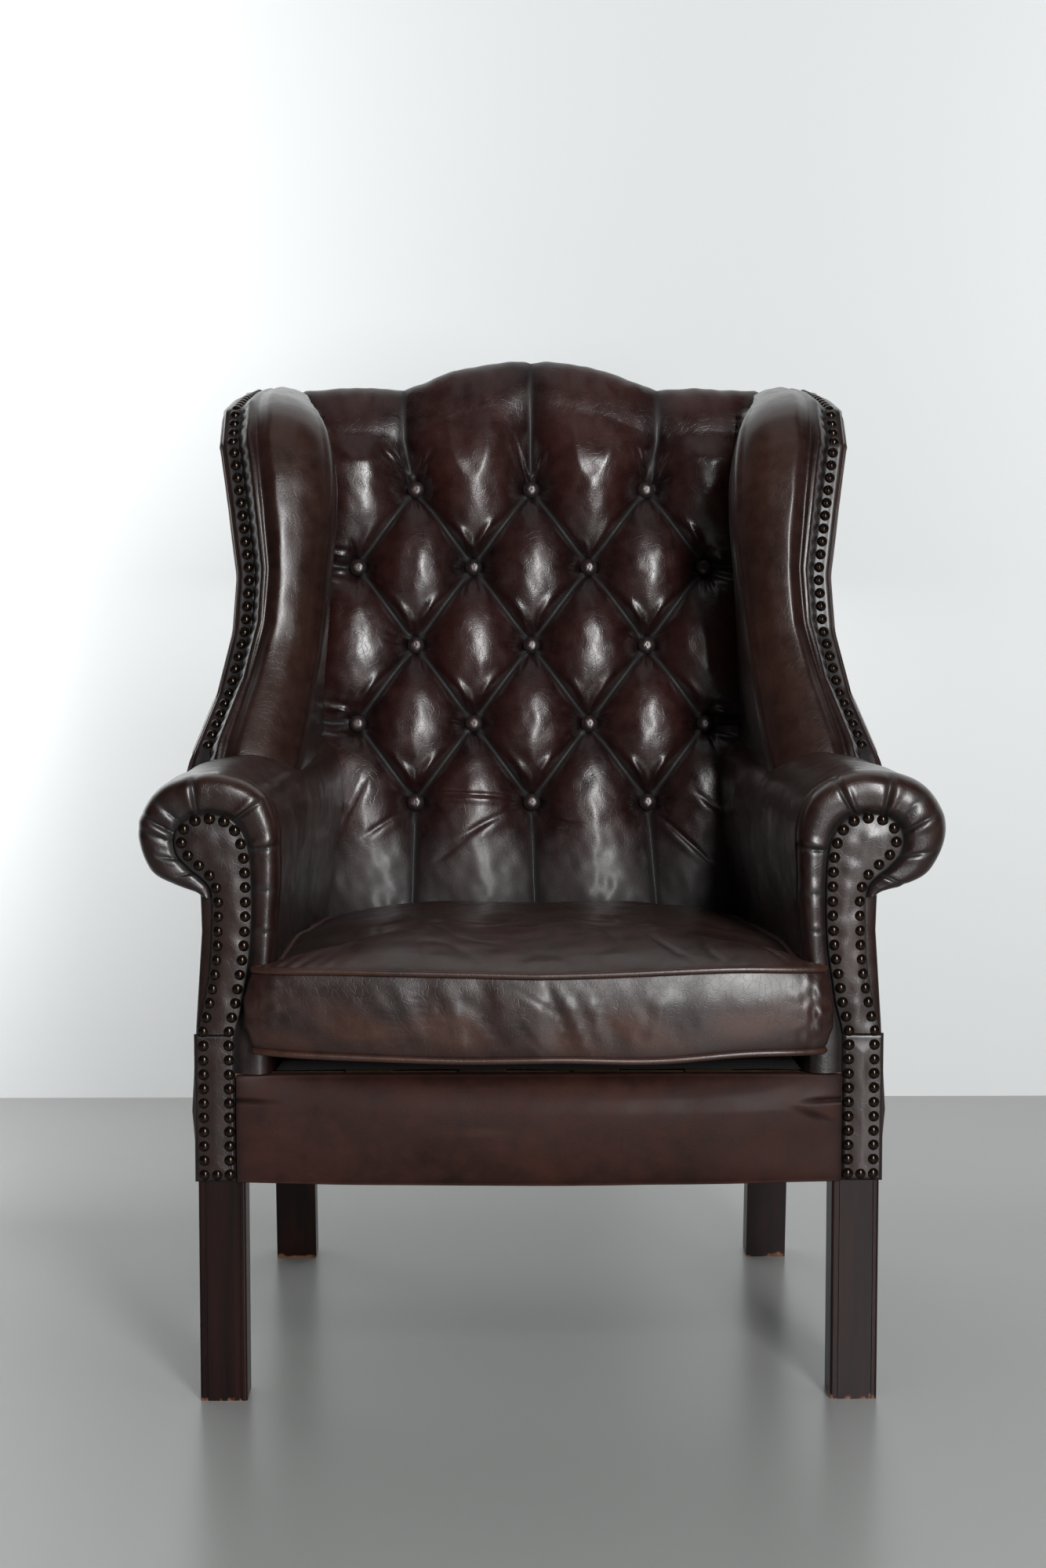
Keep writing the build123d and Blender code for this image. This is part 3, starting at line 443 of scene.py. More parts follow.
x_line = np.linspace(-half_width, half_width, 241)
front_rows = np.linspace(0, 1, 318)
crest_rows = np.linspace(0, 1, 42)[1:]
rear_rows = np.linspace(0, 1, 14)[1:]
front_count, crest_end_row = len(front_rows), len(front_rows) + len(crest_rows)
turn_t = (camel_height(x_line) - crest_base) / math.cos(lean) - crest_drop
up_even = pad_foot + front_rows * (even_top - pad_foot)
stretch = ramp(up_even - plain_top, even_top - plain_top)
front_t = up_even[:, None] + stretch[:, None] * (turn_t - even_top)
pseudo_t = np.concatenate([up_even, even_top + crest_rows * roll_length,
                           even_top + roll_length + rear_rows * rear_length])
grid_x, grid_t = np.meshgrid(x_line, pseudo_t)
nearest = np.full(grid_x.shape, 1e3)
held_height, lip, fold_side, fold_depth = (np.zeros(grid_x.shape) for _ in range(4))
for start, end, low_out, high_out, rise in pleats:
    gap, share, side = segment_distance(grid_x, grid_t, start, end)
    height = low_out + (high_out - low_out) * share + rise * np.sin(np.pi * share) ** 0.7
    closer = gap < nearest
    nearest = np.where(closer, gap, nearest)
    held_height = np.where(closer, height, held_height)
    fold_side = np.where(closer, side, fold_side)
    fold_depth = np.where(closer, 1.0 if abs(start[0] - end[0]) > 30 else 0.7, fold_depth)
    if 30 < abs(start[0] - end[0]) < column_pitch:
        above = side * np.sign(end[0] - start[0]) < 0
        lip = np.maximum(lip, above * bell(gap - 12, 5.5) * bell(share - 0.34, 0.17))
button_gap = np.min([np.hypot(grid_x - x, grid_t - up) for x, up in buttons], axis=0)
# The hide is a membrane: each point settles at the mean of its neighbours plus a push from the
# stuffing, except on the pleats, which hold it down.
push = stuffing_push * (0.30 + 0.70 * soft_step(grid_t - 214, 14))
push *= 1 - 0.42 * soft_step(grid_t - 640, 30)
hold = bell(nearest, 2.4)
button_hold = bell(button_gap, 9.0, 4)
edge_height = np.interp(pseudo_t, [pad_foot, 200, 640, 700, 780], [24, 30, 30, 25, 25])


def settle(height, level, rounds):
    """Relaxes the membrane on every level-th point: each takes a quarter of its four neighbours and
    the push, for that many rounds."""
    pick = (slice(None, None, level), slice(None, None, level))
    h = height[pick].copy()
    lift = 0.25 * (grid_step * level) ** 2 * push[pick][1:-1, 1:-1]
    pull = np.maximum(hold, button_hold)[pick]
    target = np.where(button_hold > hold, button_floor, held_height)[pick]
    for _ in range(rounds):
        around = h.copy()
        around[1:-1, 1:-1] = 0.25 * (h[:-2, 1:-1] + h[2:, 1:-1] + h[1:-1, :-2] + h[1:-1, 2:]) + lift
        h = around * (1 - pull) + target * pull
        h[:, 0] = h[:, -1] = edge_height[::level]
        h[0] = foot_height
        h[-1] = last_height
    return h


height = np.full(grid_x.shape, 30.0)
for level, rounds in ((8, 500), (4, 500), (2, 400), (1, 260)):
    coarse = settle(height, level, rounds)
    rows_at, columns_at = (np.arange(0, count, level) for count in grid_x.shape)
    part = np.stack([np.interp(np.arange(grid_x.shape[1]), columns_at, line) for line in coarse])
    height = np.stack([np.interp(np.arange(grid_x.shape[0]), rows_at, line) for line in part.T]).T
bulge = np.clip((height - button_floor) / full_height, 0, 1.4)
height = button_floor + full_height * bulge ** 0.86
over_top = ramp(grid_t - plain_top, 84)
over_top = over_top ** 2 * (3 - 2 * over_top)
height = height + over_top * 0.9 * (35.0 - height)
height -= 3.4 * bell(nearest, 3.0, 1.4) * ramp(button_gap - 6, 10) * fold_depth * (1 - 0.75 * over_top)
height += 4.6 * lip * (0.8 + 0.4 * waves(grid_x, grid_t, 130, 7))
beside = bell(nearest * fold_side - 6.0, 3.0) + 0.6 * bell(nearest * fold_side + 8.0, 3.0)
near_end = np.clip(1.25 - (button_gap - 10) / 34, 0.1, 1)
uneven = np.clip(waves(grid_x, grid_t, 60, 6) + 0.7, 0.1, 1.4)
height += 0.9 * beside * near_end * fold_depth * (1 - over_top) * uneven
# Short creases fan out from every button; those of the top row are longer and deeper upwards.
pick = np.random.default_rng(12)
for x, up in buttons:
    for aim in (62, 76, 103, 117, 28, 152, 205, 250, 270, 292, 335, 0, 180):
        if up > 600 and 50 < aim < 130:
            length, deep = pick.uniform(44, 62), 4.6
        else:
            length, deep = pick.uniform(22, 42), pick.uniform(0.9, 3.2)
        way = math.radians(aim + pick.uniform(-7, 7))
        gap, share, side = segment_distance(grid_x, grid_t, (x + 8 * math.cos(way), up + 8 * math.sin(way)),
                                            (x + length * math.cos(way), up + length * math.sin(way)))
        height += deep * (1 - share) ** 0.8 * (0.4 * bell(gap - 5, 2.8) - bell(gap, 2.2))
side_pull = bell(np.abs(grid_x) - 236, 18) * bell(np.abs(grid_t - low_row - 2 * row_pitch) - row_pitch, 22)
height += 1.8 * side_pull * np.sin(grid_t / 2.3 + grid_x / 9)
height += 0.5 * waves(grid_x, grid_t, 60, 3) + 0.22 * waves(grid_x, grid_t, 22, 4)
# Slack folds low on the back: start, end, depth and width of each.
for start, end, deep, wide in (((-122, 236), (-18, 231), 3.0, 2.4), ((148, 216), (222, 146), 2.6, 2.6),
                               ((-204, 182), (-158, 214), 2.0, 3.0), ((-96, 178), (-28, 214), 2.0, 3.4),
                               ((-120, 150), (-60, 196), 1.4, 4.0), ((14, 206), (50, 196), 1.4, 2.6),
                               ((-230, 196), (-196, 262), 1.4, 3.4), ((196, 238), (236, 206), 1.6, 3.0)):
    gap, share, side = segment_distance(grid_x, grid_t, start, end)
    height -= deep * bell(gap, wide) * np.sin(np.pi * np.clip(share, 0.02, 0.98)) ** 0.5
    height += 0.6 * deep * bell(gap * side - 2.6 * wide, 2 * wide) * np.sin(np.pi * share)
height += 0.5 * soft_step(190 - grid_t, 16) * waves(grid_x + 0.7 * grid_t, 0.5 * grid_t, 60, 8)
out = height - hide_under
end_share = ramp(np.abs(grid_x) - 200, 62)
grid_x = grid_x * (1 + ramp(grid_t - 590, 90) * (0.09 + 0.045 * end_share ** 2))
front_x, crest_x, rear_x = np.split(grid_x, [front_count, crest_end_row])
front = on_back(front_x, front_t, out[:front_count])
turn = np.linspace(0, np.pi, 42)[1:, None]
crest_radius = out[front_count:crest_end_row] - crest_axis
crest_rise = crest_radius * crest_drop / even_radius
crest_rise *= np.sqrt(1 - 0.98 * ramp(np.abs(crest_x) - 276, 21) ** 2)
crest = on_back(crest_x, turn_t + np.sin(turn) * crest_rise,
                crest_axis + np.cos(turn) * np.where(turn < np.pi / 2, crest_radius, rear_radius))
rear = on_back(rear_x, turn_t - rear_rows[:, None] * rear_drop, crest_axis - rear_radius)
# Painted shade along the pleats and round the buttons; towards the foot the hide is made darker and duller.
back_painted_shade = 0.9 * bell(nearest, 3.2) * (1 - 0.35 * over_top) + 0.8 * bell(button_gap, 13)
back_painted_shade = back_painted_shade + 0.62 * soft_step(165 - grid_t, 22)
back_piece = mesh_object("inside_back", np.concatenate([front, crest, rear]), flip=True,
                         marks={"painted_shade_dull": back_painted_shade, "rub": (bulge - 0.55) * 1.6})
dress(back_piece, back_leather, "back_pad")

# Covered buttons: the same hide stretched over a domed metal shell, with a hollow worn into the
# middle, and tied through the back with twine.
button_profile = np.array([[0.0, 6.2], [2.2, 6.3], [4.4, 6.0], [6.4, 5.2], [8.0, 3.7], [9.0, 1.8], [9.3, 0.0],
                           [8.8, -3.0], [0.0, -3.2]])
button_radius, button_out = (smooth_line(button_profile, 26) * np.array([1.1, 1.05])).T[..., None]
button_spin = np.linspace(0, 2 * np.pi, 25)[:-1]
button_seat = 18.5
for order, (x, up) in enumerate(buttons):
    shape = on_back(x + button_radius * np.cos(button_spin), up + button_radius * np.sin(button_spin),
                    button_seat + button_out + 0.06 * np.cos(button_spin * 5 + order) * button_radius / 9)
    # Painted shade on the rim of each button, where it sinks into the hide.
    piece = mesh_object(f"button_{order + 1}", shape, wrap_v=True,
                        marks={"painted_shade_dull": np.clip((button_radius - 6.5) / 3, 0, 0.8), "rub": 0.5})
    fit(piece, back_leather, "leather", "back_buttons")

# Wings: one hide drawn from the nailed front edge, over a fat roll of hair, along the inner face and
# in behind the back pad. Rows follow the nailed edge up the front and back over the top.
# The same cow hide as the back's, but browner and rubbed duller by hands.
side_leather = leather_material("side_hide", "#110706", "#27130f", "#46291c", 0.36, 0.55)
nail_pitch, join_out, row_count, column_count = 15.0, 24, 300, 220
# The nailed edge: X, depth and height at each station.
wing_stations = np.array([[384, 232, 560], [380, 246, 600], [368, 274, 655], [344, 330, 720], [328, 360, 790],
                          [324, 372, 850], [334, 386, 930], [344.5, 406, 1000], [344, 446, 1038],
                          [338, 520, 1052], [328, 600, 1062], [319, 731, 1063]], float)
# At the same stations: X of the inner face, height where it meets the back pad, reach of the roll
# before the nails, and height on the rear edge.
wing_girth = np.array([[276, 545, 16, 612], [270, 585, 24, 622], [259, 640, 30, 650], [249, 700, 33, 700],
                       [238, 765, 34, 770], [232, 825, 35, 835], [227, 900, 34, 915], [230, 955, 28, 975],
                       [243, 990, 18, 1013], [258, 1014, 12, 1036], [268, 1034, 9, 1042],
                       [276, 1038, 3, 1046]], float)
# The section of the roll: share across its width, and share of its reach.
roll_profile = np.array([[1.98, 0.44], [1.92, 0.64], [1.82, 0.84], [1.72, 0.87], [1.61, 0.84], [1.48, 0.91],
                         [1.34, 0.99], [1.20, 0.99], [0.95, 0.93], [0.70, 0.84], [0.45, 0.68], [0.22, 0.45],
                         [0.04, 0.18]])


def normals(points):
    """Unit normals of a grid: the cross product of its two directions of change."""
    normal = np.cross(np.gradient(points, axis=1), np.gradient(points, axis=0))
    return normal / np.maximum(np.linalg.norm(normal, axis=-1, keepdims=True), 1e-9)


def both_sides(name, points, material, node, marks, flip=False):
    """The right-hand piece and its mirror image: X is negated and the faces turned over."""
    for side, sign in (("right", 1), ("left", -1)):
        shape = points * np.array([sign, 1, 1])
        piece = mesh_object(f"{name}_{side}", shape, flip=flip != (sign < 0), marks=marks)
        dress(piece, material, f"{node}_{side}")


station_at = np.linspace(0, 11, row_count)
wing_inner_x, wing_join_z, wing_roll_reach, wing_rear_z = smooth_line(wing_girth, row_count).T


def eased_edge(spread):
    """The nailed edge with its corners eased: each point is the mean of those within the spread, which
    closes up at the rear end."""
    reach = spread * np.clip((11 - station_at[:, None]) / 0.8, 0, 1)
    near_at = np.clip(station_at[:, None] + reach * np.linspace(-1, 1, 21), 0, 11)
    return np.stack([np.interp(near_at, range(12), line).mean(axis=1) for line in wing_stations.T], axis=1)


wing_edge, soft_edge = eased_edge(0.08), eased_edge(0.8)
half_roll = (wing_edge[:, 0] - 8 - wing_inner_x) / 2
join_d = (post_depth - join_out * math.cos(lean)
          + (wing_join_z - rail_top - join_out * math.sin(lean)) / math.cos(lean) * math.sin(lean))
join_d = np.maximum(join_d, np.interp(station_at, [10, 11], [600, 724]))


def wing_point(x, ahead, softness=0.0):
    """A point at X that lies a distance ahead of the nailed edge, square to its run. Softness blends
    the line of the nails into a rounder line."""
    line = wing_edge + (soft_edge - wing_edge) * softness
    run = np.gradient(line, axis=0)
    run /= np.linalg.norm(run[:, 1:], axis=1, keepdims=True)
    return np.stack([x, line[:, 1] - run[:, 2] * ahead, line[:, 2] + run[:, 1] * ahead], axis=-1)


def line_of(x, depth, z):
    """One line along the wing, from values that may be the same at every station."""
    return np.stack(np.broadcast_arrays(x, depth, z), axis=-1)


join_line = line_of(252, join_d, wing_join_z)
join_tail = join_line + line_of(6, np.interp(station_at, [10, 11], [22, 4]), 0)
shoulder = wing_point(wing_inner_x, np.interp(station_at, [9.6, 11], [-34, -3]), 1.0)
edge_way = np.r_[0, np.cumsum(np.linalg.norm(np.diff(wing_edge, axis=0), axis=1))]
scallop = 0.9 * np.cos(2 * np.pi * edge_way / nail_pitch)
roll_seat = np.minimum(12, 0.85 * wing_roll_reach)
band_rise = np.interp(station_at, [0, 7, 8, 11], [-0.3, -0.3, 0.6, 0.6])
wing_lines = [wing_point(wing_edge[:, 0] - 4.5, band_rise - 3.5),
              wing_point(wing_edge[:, 0] - 6.5 + scallop, band_rise)]
wing_lines += [wing_point(wing_inner_x + half_roll * across + scallop * (across > 1.9),
                          (wing_roll_reach + roll_seat) * rise - roll_seat, min(1.0, (1.98 - across) / 0.4))
               for across, rise in roll_profile]
wing_lines += [shoulder, shoulder * 0.66 + join_line * 0.34 - np.array([3, 0, 0]),
               shoulder * 0.33 + join_line * 0.67 - np.array([2, 0, 0]), join_line, join_tail]
wing_points = smooth_line(np.stack(wing_lines, axis=1), column_count)
wing_points[..., 1] += leg_face_y
line_at = np.interp(np.linspace(0, 19, column_count), [0, 2, 14, 19], [-3, -1, 6, 11])
run, turn = np.meshgrid(station_at, line_at, indexing="ij")
face = normals(wing_points)
if face[150, 80, 1] > 0:
    face = -face
swell = 0.9 * waves(run * 62, turn * 26, 150, 21) + 0.18 * waves(run * 62, turn * 26, 42, 22)
top_pulls = ramp(run - 7.3, 0.8) * ramp(11 - run, 0.5) * ramp(turn - 5, 2)
swell += 0.8 * top_pulls * np.cos(run * 13 + turn * 0.8)
near_button = sum(bell(wing_points[..., 2] - z, 14) for z in (657, 847))
swell += 1.6 * near_button * ramp(turn - 7.6, 1.6) * np.sin(wing_points[..., 2] / 2.1 + turn)
wing_points = wing_points + face * (swell * ramp(turn - 1.2, 1.5) * ramp(10.6 - turn, 0.8))[..., None]
# Painted shade along the nailed edge and where the roll turns in behind the back pad; the rub mark is wear
# down the roll.
both_sides("wing_roll", wing_points, side_leather, "wing_pad",
           {"painted_shade_dull": 0.85 * bell(turn - 10.1, 0.5) + 0.7 * bell(turn + 2, 0.9), "rub": bell(turn - 4, 1.8)})

# Outside wings: hide drawn over the board behind the nails, tucked under the hide of the arm roll at
# its foot, and closed against the outside back. Its front edge is folded into a flat band.
side_half, side_depth, board_swell = 336, 602, 14
rear_line = line_of(side_half, side_depth + (wing_rear_z - rail_top) * math.tan(lean), wing_rear_z)
band_out = 9 + 5 * np.clip((station_at - 9.6) / 0.5, 0, 1)
skin_back = wing_point(wing_edge[:, 0] + 16, -16)
skin_lines = [wing_point(wing_edge[:, 0] + across, band_rise + rise) for across, rise in (
    (-8, -3), (-7, 0), (2, 0), (band_out, -0.2), (band_out + 3, -3))]
skin_lines += [skin_back, skin_back * 0.66 + rear_line * 0.34 + np.array([3, 0, 0]),
               skin_back * 0.3 + rear_line * 0.7 + np.array([2, 0, 0]),
               rear_line + np.array([0, -3, 0]), rear_line + np.array([-6, 1, 0])]
skin_points = smooth_line(np.stack(skin_lines, axis=1), 110)
run, turn = np.meshgrid(station_at, np.linspace(-1, 8, 110), indexing="ij")
skin_points[..., 0] += 0.9 * waves(run * 45, turn * 35, 90, 31) * ramp(turn - 3.5, 1)
skin_x, skin_d, skin_z = np.moveaxis(skin_points, -1, 0)
# The board behind it swells 16 mm past the nailed edge, then runs straight to the rear edge.
edge_x, edge_d = (np.interp(skin_z, wing_stations[:11, 2], wing_stations[:11, k]) for k in (0, 1))
behind_edge = side_depth + (skin_z - rail_top) * math.tan(lean) - edge_d - board_swell
board_x = edge_x + 10 + 6 * ramp(skin_d - edge_d, board_swell)
board_x += (320 - edge_x) * ramp(skin_d - edge_d - board_swell, np.maximum(behind_edge, 1))
skin_x = skin_x + ramp(turn - 2.6, 0.6) * ramp(7.6 - turn, 0.3) * np.clip(board_x - 1.2 - skin_x, 0, 40)
roll_x = np.interp(skin_z, [531, 543, 557, 588, 617, 645], [348, 376, 400, 414, 410, 386]) - 0.07 * skin_d
skin_x = np.minimum(skin_x, roll_x - 6 + 60 * np.clip((skin_z - 600) / 30, 0, 9))
# Painted shade at the folded front band and where the hide closes against the outside back; the rub mark is
# wear by the band.
skin_marks = {"painted_shade_dull": 0.5 * bell(turn - 7.6, 0.4) + 0.9 * bell(turn - 0.4, 1.1, 4),
              "rub": bell(turn - 3.6, 0.7)}
both_sides("outside_wing_hide", placed(skin_x, skin_d, skin_z), side_leather, "outside_wing", skin_marks,
           flip=True)

# Arms: a wall of hair and a fat roll under one hide, drawn round the front rim and pleated in
# behind the facing. The roll drifts towards the middle as it runs back.
around, front_round, end_round, arm_rear, rear_stop = 420, 20, 12, 597, 638
shut_x, shut_low, shut_high = 318, 346, 585
# X and height of the facing's outline, and of the arm's own section at the same stations.
facing_line = np.array([[313.5, 346], [313.5, 386], [311, 400], [306, 419], [302.5, 442], [298, 471],
                        [295.5, 507], [295.2, 529], [295.5, 552], [297.3, 575], [302.5, 594.5],
                        [313.5, 609], [328.5, 614.5], [344, 615.4], [361, 610.8], [373, 596.5],
                        [371.8, 576], [360, 561], [348, 551.5], [338.5, 541], [335.7, 529]], float)
arm_line = np.array([[275, 346], [275, 386], [275, 400], [274.5, 419], [274, 442], [272.5, 471],
                     [270.5, 507], [269, 529], [267.5, 552], [266.8, 575], [268, 605], [281, 634],
                     [312, 652], [342, 656], [386, 645], [410, 617], [414, 588], [400, 557],
                     [376, 543], [357, 536], [348, 531]], float)
in_x, in_z = smooth_line(facing_line, around).T
out_x, out_z = smooth_line(arm_line, around).T
drift = 28 + 11 * ramp(out_z - 430, 140)
rim = np.linspace(0, np.pi / 2, 30)[:, None]
end_d = np.minimum(arm_rear + (out_z - rail_top) * math.tan(lean), rear_stop)
long_d = front_round + (end_d - front_round - end_round) * np.linspace(0, 1, 260)[1:, None]
end_turn = np.linspace(0, np.pi / 2, 8)[1:, None]
end_share = 0.25 * (1 - np.cos(end_turn))
end_drift = drift * end_d / post_depth
# Bands of rows from front to rear: the rim, the long run, the rounded end, its tip and its closing.
arm_bands = ((in_x + (out_x - in_x) * np.sin(rim),
              -1.0 + 21 * (1 - np.cos(rim)) ** 2 - 3.4 * np.sin(2 * rim) + 3 * bell(rim, 0.12),
              in_z + (out_z - in_z) * np.sin(rim)),
             (out_x - drift * long_d / post_depth, long_d, out_z),
             (out_x - end_drift + (in_x - out_x) * end_share,
              end_d - end_round + end_round * np.sin(end_turn), out_z + (in_z - out_z) * end_share),
             (in_x[None] - end_drift, end_d, in_z),
             (shut_x - end_drift[None], end_d, np.clip(in_z, shut_low, shut_high)))
arm_shape = np.concatenate([placed(*band) for band in arm_bands])
face = normals(arm_shape)
if face[150, 260, 2] < 0:
    face = -face
depth = arm_shape[..., 1] - leg_face_y
across = np.broadcast_to(np.linspace(0, 20, around), depth.shape)
row_share = np.full((len(depth), 1), 99.0)
row_share[:len(rim) + len(long_d)] = np.concatenate([rim / (np.pi / 2), 1 + long_d[:, 260, None] / 60])
held = ramp(across - 0.4, 1.0) * ramp(19.6 - across, 0.7) * np.clip(row_share * 6, 0, 1)
# Each pleat: where it lies round the facing, its width, how far back it runs, and its depth.
pleats_left = ((9.2, 0.10, 1.00, 3.0), (11.0, 0.09, 0.75, 3.2), (13.35, 0.08, 1.05, 3.6),
               (14.4, 0.10, 0.9, 1.8), (15.05, 0.10, 1.15, 3.4), (15.5, 0.10, 1.25, 1.3),
               (16.4, 0.10, 0.45, 2.2), (17.5, 0.12, 0.4, 2.0), (5.6, 0.05, 0.9, 1.3), (7.4, 0.12, 0.9, 0.9))
pleats_right = ((9.1, 0.10, 1.05, 3.2), (11.7, 0.08, 1.10, 3.4), (13.5, 0.08, 1.05, 3.6),
                (14.3, 0.12, 0.9, 1.0), (15.0, 0.10, 0.95, 3.2), (16.3, 0.10, 0.8, 2.8),
                (17.9, 0.10, 0.9, 2.0), (5.6, 0.05, 0.9, 1.3), (7.2, 0.14, 0.9, 0.9))
for side, sign, folds, fuller, seed in (("left", -1, pleats_left, 0, 41), ("right", 1, pleats_right, 6, 44)):
    swell = 0.9 * waves(depth, across * 28, 120, seed) + 0.2 * waves(depth, across * 28, 38, seed + 1)
    # Painted shade: mark gathers the pleat lines, to darken them.
    mark = np.zeros(depth.shape)
    for at, width, length, deep in folds:
        reach = np.clip(1 - row_share / length, 0, 1) ** 0.6
        bent = across - at - 0.10 * row_share * np.sin(at * 5)
        swell += deep * reach * (0.5 * bell(bent - 2.6 * width, 1.9 * width) - bell(bent, width, 1.5))
        mark = np.maximum(mark, reach * bell(bent, width))
    swell = swell + fuller * bell(across - 15, 2.6) * np.clip(1 - (row_share - 1) / 5, 0, 1)
    shape = (arm_shape + face * (swell * held)[..., None]) * np.array([sign, 1, 1])
    # Painted shade in the pleats and along the front rim against the facing; the rub mark is wear along the
    # top of the roll.
    arm = mesh_object(f"arm_roll_{side}", shape, flip=sign > 0,
                      marks={"painted_shade_dull": mark + 0.8 * bell(row_share, 0.10),
                             "rub": bell(across - 12.6, 3.4) * np.clip(row_share, 0, 1)})
    dress(arm, side_leather, f"arm_pad_{side}")

# Arm facings: hide over thin board, slightly full, nailed all round. The upper one is scroll-shaped
# and covers the end of the roll, and the lower one covers the head of the leg.
facing_in_x, facing_out_x, facing_join_z, cover_low_z = 313.5, 356, 387.8, 233
loop_end = [[335.5, 513], [336.5, 486], [338.5, 456], [342.5, 431], [347.5, 410], [352.5, 388.2]]
loop = np.concatenate([[[facing_in_x, 388.2]], facing_line[2:], loop_end])
# The middle line of the scroll, and how far up it each station of the outline looks.
spine = np.array([[333, 388.2], [326, 421], [319, 472], [316, 507], [318, 540], [327, 567], [342, 584]])
spine_share = np.interp(np.linspace(0, 25, 260), range(26),
                        [0, .06, .15, .25, .36, .48, .58, .67, .76, .84, .92, .97, 1, 1, 1, 1, .98, .93, .87,
                         .78, .70, .62, .50, .36, .20, 0])
rim_line = smooth_line(loop, 260)
spine_line = np.stack([np.interp(spine_share * 200, range(201), line)
                       for line in smooth_line(spine, 201).T], axis=-1)
share = np.linspace(0, 1, 16)[:, None]
plan = rim_line + (spine_line - rim_line) * share[..., None]
facing_d = -3.4 - 2.4 * np.sin(share * np.pi / 2) + 0.35 * waves(plan[..., 0], plan[..., 1], 26, 51)
facing_points = np.concatenate([placed(rim_line[None, :, 0], 0.5, rim_line[:, 1]),
                                placed(plan[..., 0], facing_d, plan[..., 1])])
share_rows = np.concatenate([[[0]], share])
# Painted shade round the nailed outline; the rub mark is wear towards the middle of the scroll.
both_sides("upper_facing", facing_points, side_leather, "arm_facing",
           {"painted_shade_dull": 0.7 * bell(share_rows, 0.16), "rub": share_rows * 0.6}, flip=True)

low_x, low_z = np.meshgrid(np.linspace(facing_in_x, facing_out_x, 40),
                           np.linspace(cover_low_z, facing_join_z, 110))
inside = np.minimum(np.minimum(low_x - facing_in_x, facing_out_x - low_x),
                    np.minimum(low_z - cover_low_z, facing_join_z - low_z))
lower_d = -0.4 - 3.6 * ramp(inside, 3) ** 0.5 - 1.2 * ramp(inside, 20)
lower_d = lower_d - 0.4 * waves(low_x, low_z, 40, 53) * ramp(inside, 8)
# Painted shade round the nailed edges; the rub mark is wear in the middle.
both_sides("lower_facing", placed(low_x, lower_d, low_z), side_leather, "lower_facing",
           {"painted_shade_dull": 0.7 * bell(inside, 2.5), "rub": ramp(inside, 22) * 0.6})

# Outside arms: hide drawn flat from the roll down to the rail, turned round the front onto the edge
# of the facing, and tacked at the rear behind the outside back.
side_top, strip_end, leg_depth, rear_edge_d = 531, 8.5, 49, 603
side_z = np.linspace(cover_low_z, side_top, 120)[:, None]
outer_x = np.interp(side_z, [233, 306, 400, 494, 531], [353.5, 359.5, 354, 347.5, 348.5])
inner_x = np.interp(side_z, [233, 388, 410, 431, 456, 486, 513, 531],
                    [349, 348, 343, 338, 334, 332, 331, 332])
strip = np.linspace(0, np.pi / 2, 16)
strip_points = placed(inner_x + (outer_x - inner_x) * np.sin(strip), 1.5 + 7 * (1 - np.cos(strip)), side_z)
side_end = rear_edge_d + np.clip(side_z - rail_top, 0, None) * math.tan(lean)
end_x = np.interp(side_z, [197, 667], [313, 335])
side_share = np.linspace(0, 1, 150)[1:]
long_d = strip_end + (side_end - strip_end) * side_share
long_x = facing_out_x - (facing_out_x - end_x) * ramp(long_d - leg_depth, side_end - leg_depth)
long_x = long_x + (outer_x - facing_out_x) * np.exp(-(long_d - strip_end) / 90)
upright_share = (side_z - cover_low_z) / (side_top - cover_low_z)
long_x = long_x + 5 * np.sin(np.pi * upright_share) * np.sin(np.pi * side_share)
calm = ramp(long_d - strip_end, 30) * ramp(side_end - long_d, 30)
long_x = long_x + 0.7 * waves(long_d, side_z, 140, 61) * calm
# Painted shade along the top, under the roll.
both_sides("outside_arm_hide", np.concatenate([strip_points, placed(long_x, long_d, side_z)], axis=1),
           side_leather, "outside_arm", {"painted_shade_dull": 0.5 * bell(side_z - side_top, 8), "rub": 0.3})

# Outside back: one flat hide from under the camel roll down to the rail, closed by hand at the
# sides and turned in at the top.
half_back, crest_gap, top_corner_z, back_low_z, rear_plane = 336, 45, 1063.5, 236, 603.5
rear_x = np.linspace(-half_back, half_back, 180)
rear_share = np.linspace(0, 1, 200)[:, None]
crest_z = camel_height(rear_x) - crest_gap
crest_z += (top_corner_z - crest_z) * ramp(np.abs(rear_x) - 245, 30)
crest_z += 2.5 * ramp(np.abs(rear_x) - 285, 8)
rear_z = back_low_z + (crest_z[None] - back_low_z) * rear_share
rear_d = rear_plane + np.clip(rear_z - rail_top, 0, None) * math.tan(lean)
rear_d = rear_d + 3.5 * np.sin(np.pi * rear_share) * np.cos(np.pi * rear_x / (2 * half_back))
rear_d = rear_d + 0.8 * waves(rear_x, rear_z, 160, 71)
rear_d = rear_d - 3.5 * ramp(np.abs(rear_x) - 331, 5) ** 2 * ramp(1045 - rear_z, 10)
turned_in = np.where(np.abs(rear_x) < 290, (rear_share - 0.985) / 0.015, (rear_z - 1062) / 4)
rear_d = rear_d - 7 * np.clip(turned_in, 0, 1) ** 2
half_at = np.interp(rear_z, [197, 667], [314 / half_back, 1.0])
# Painted shade along the closed side edges.
rear_piece = mesh_object("outside_back_hide", placed(rear_x * half_at, rear_d, rear_z), flip=True,
                         marks={"painted_shade_dull": 0.5 * bell(half_back - np.abs(rear_x), 6), "rub": 0.4})
dress(rear_piece, side_leather, "outside_back")

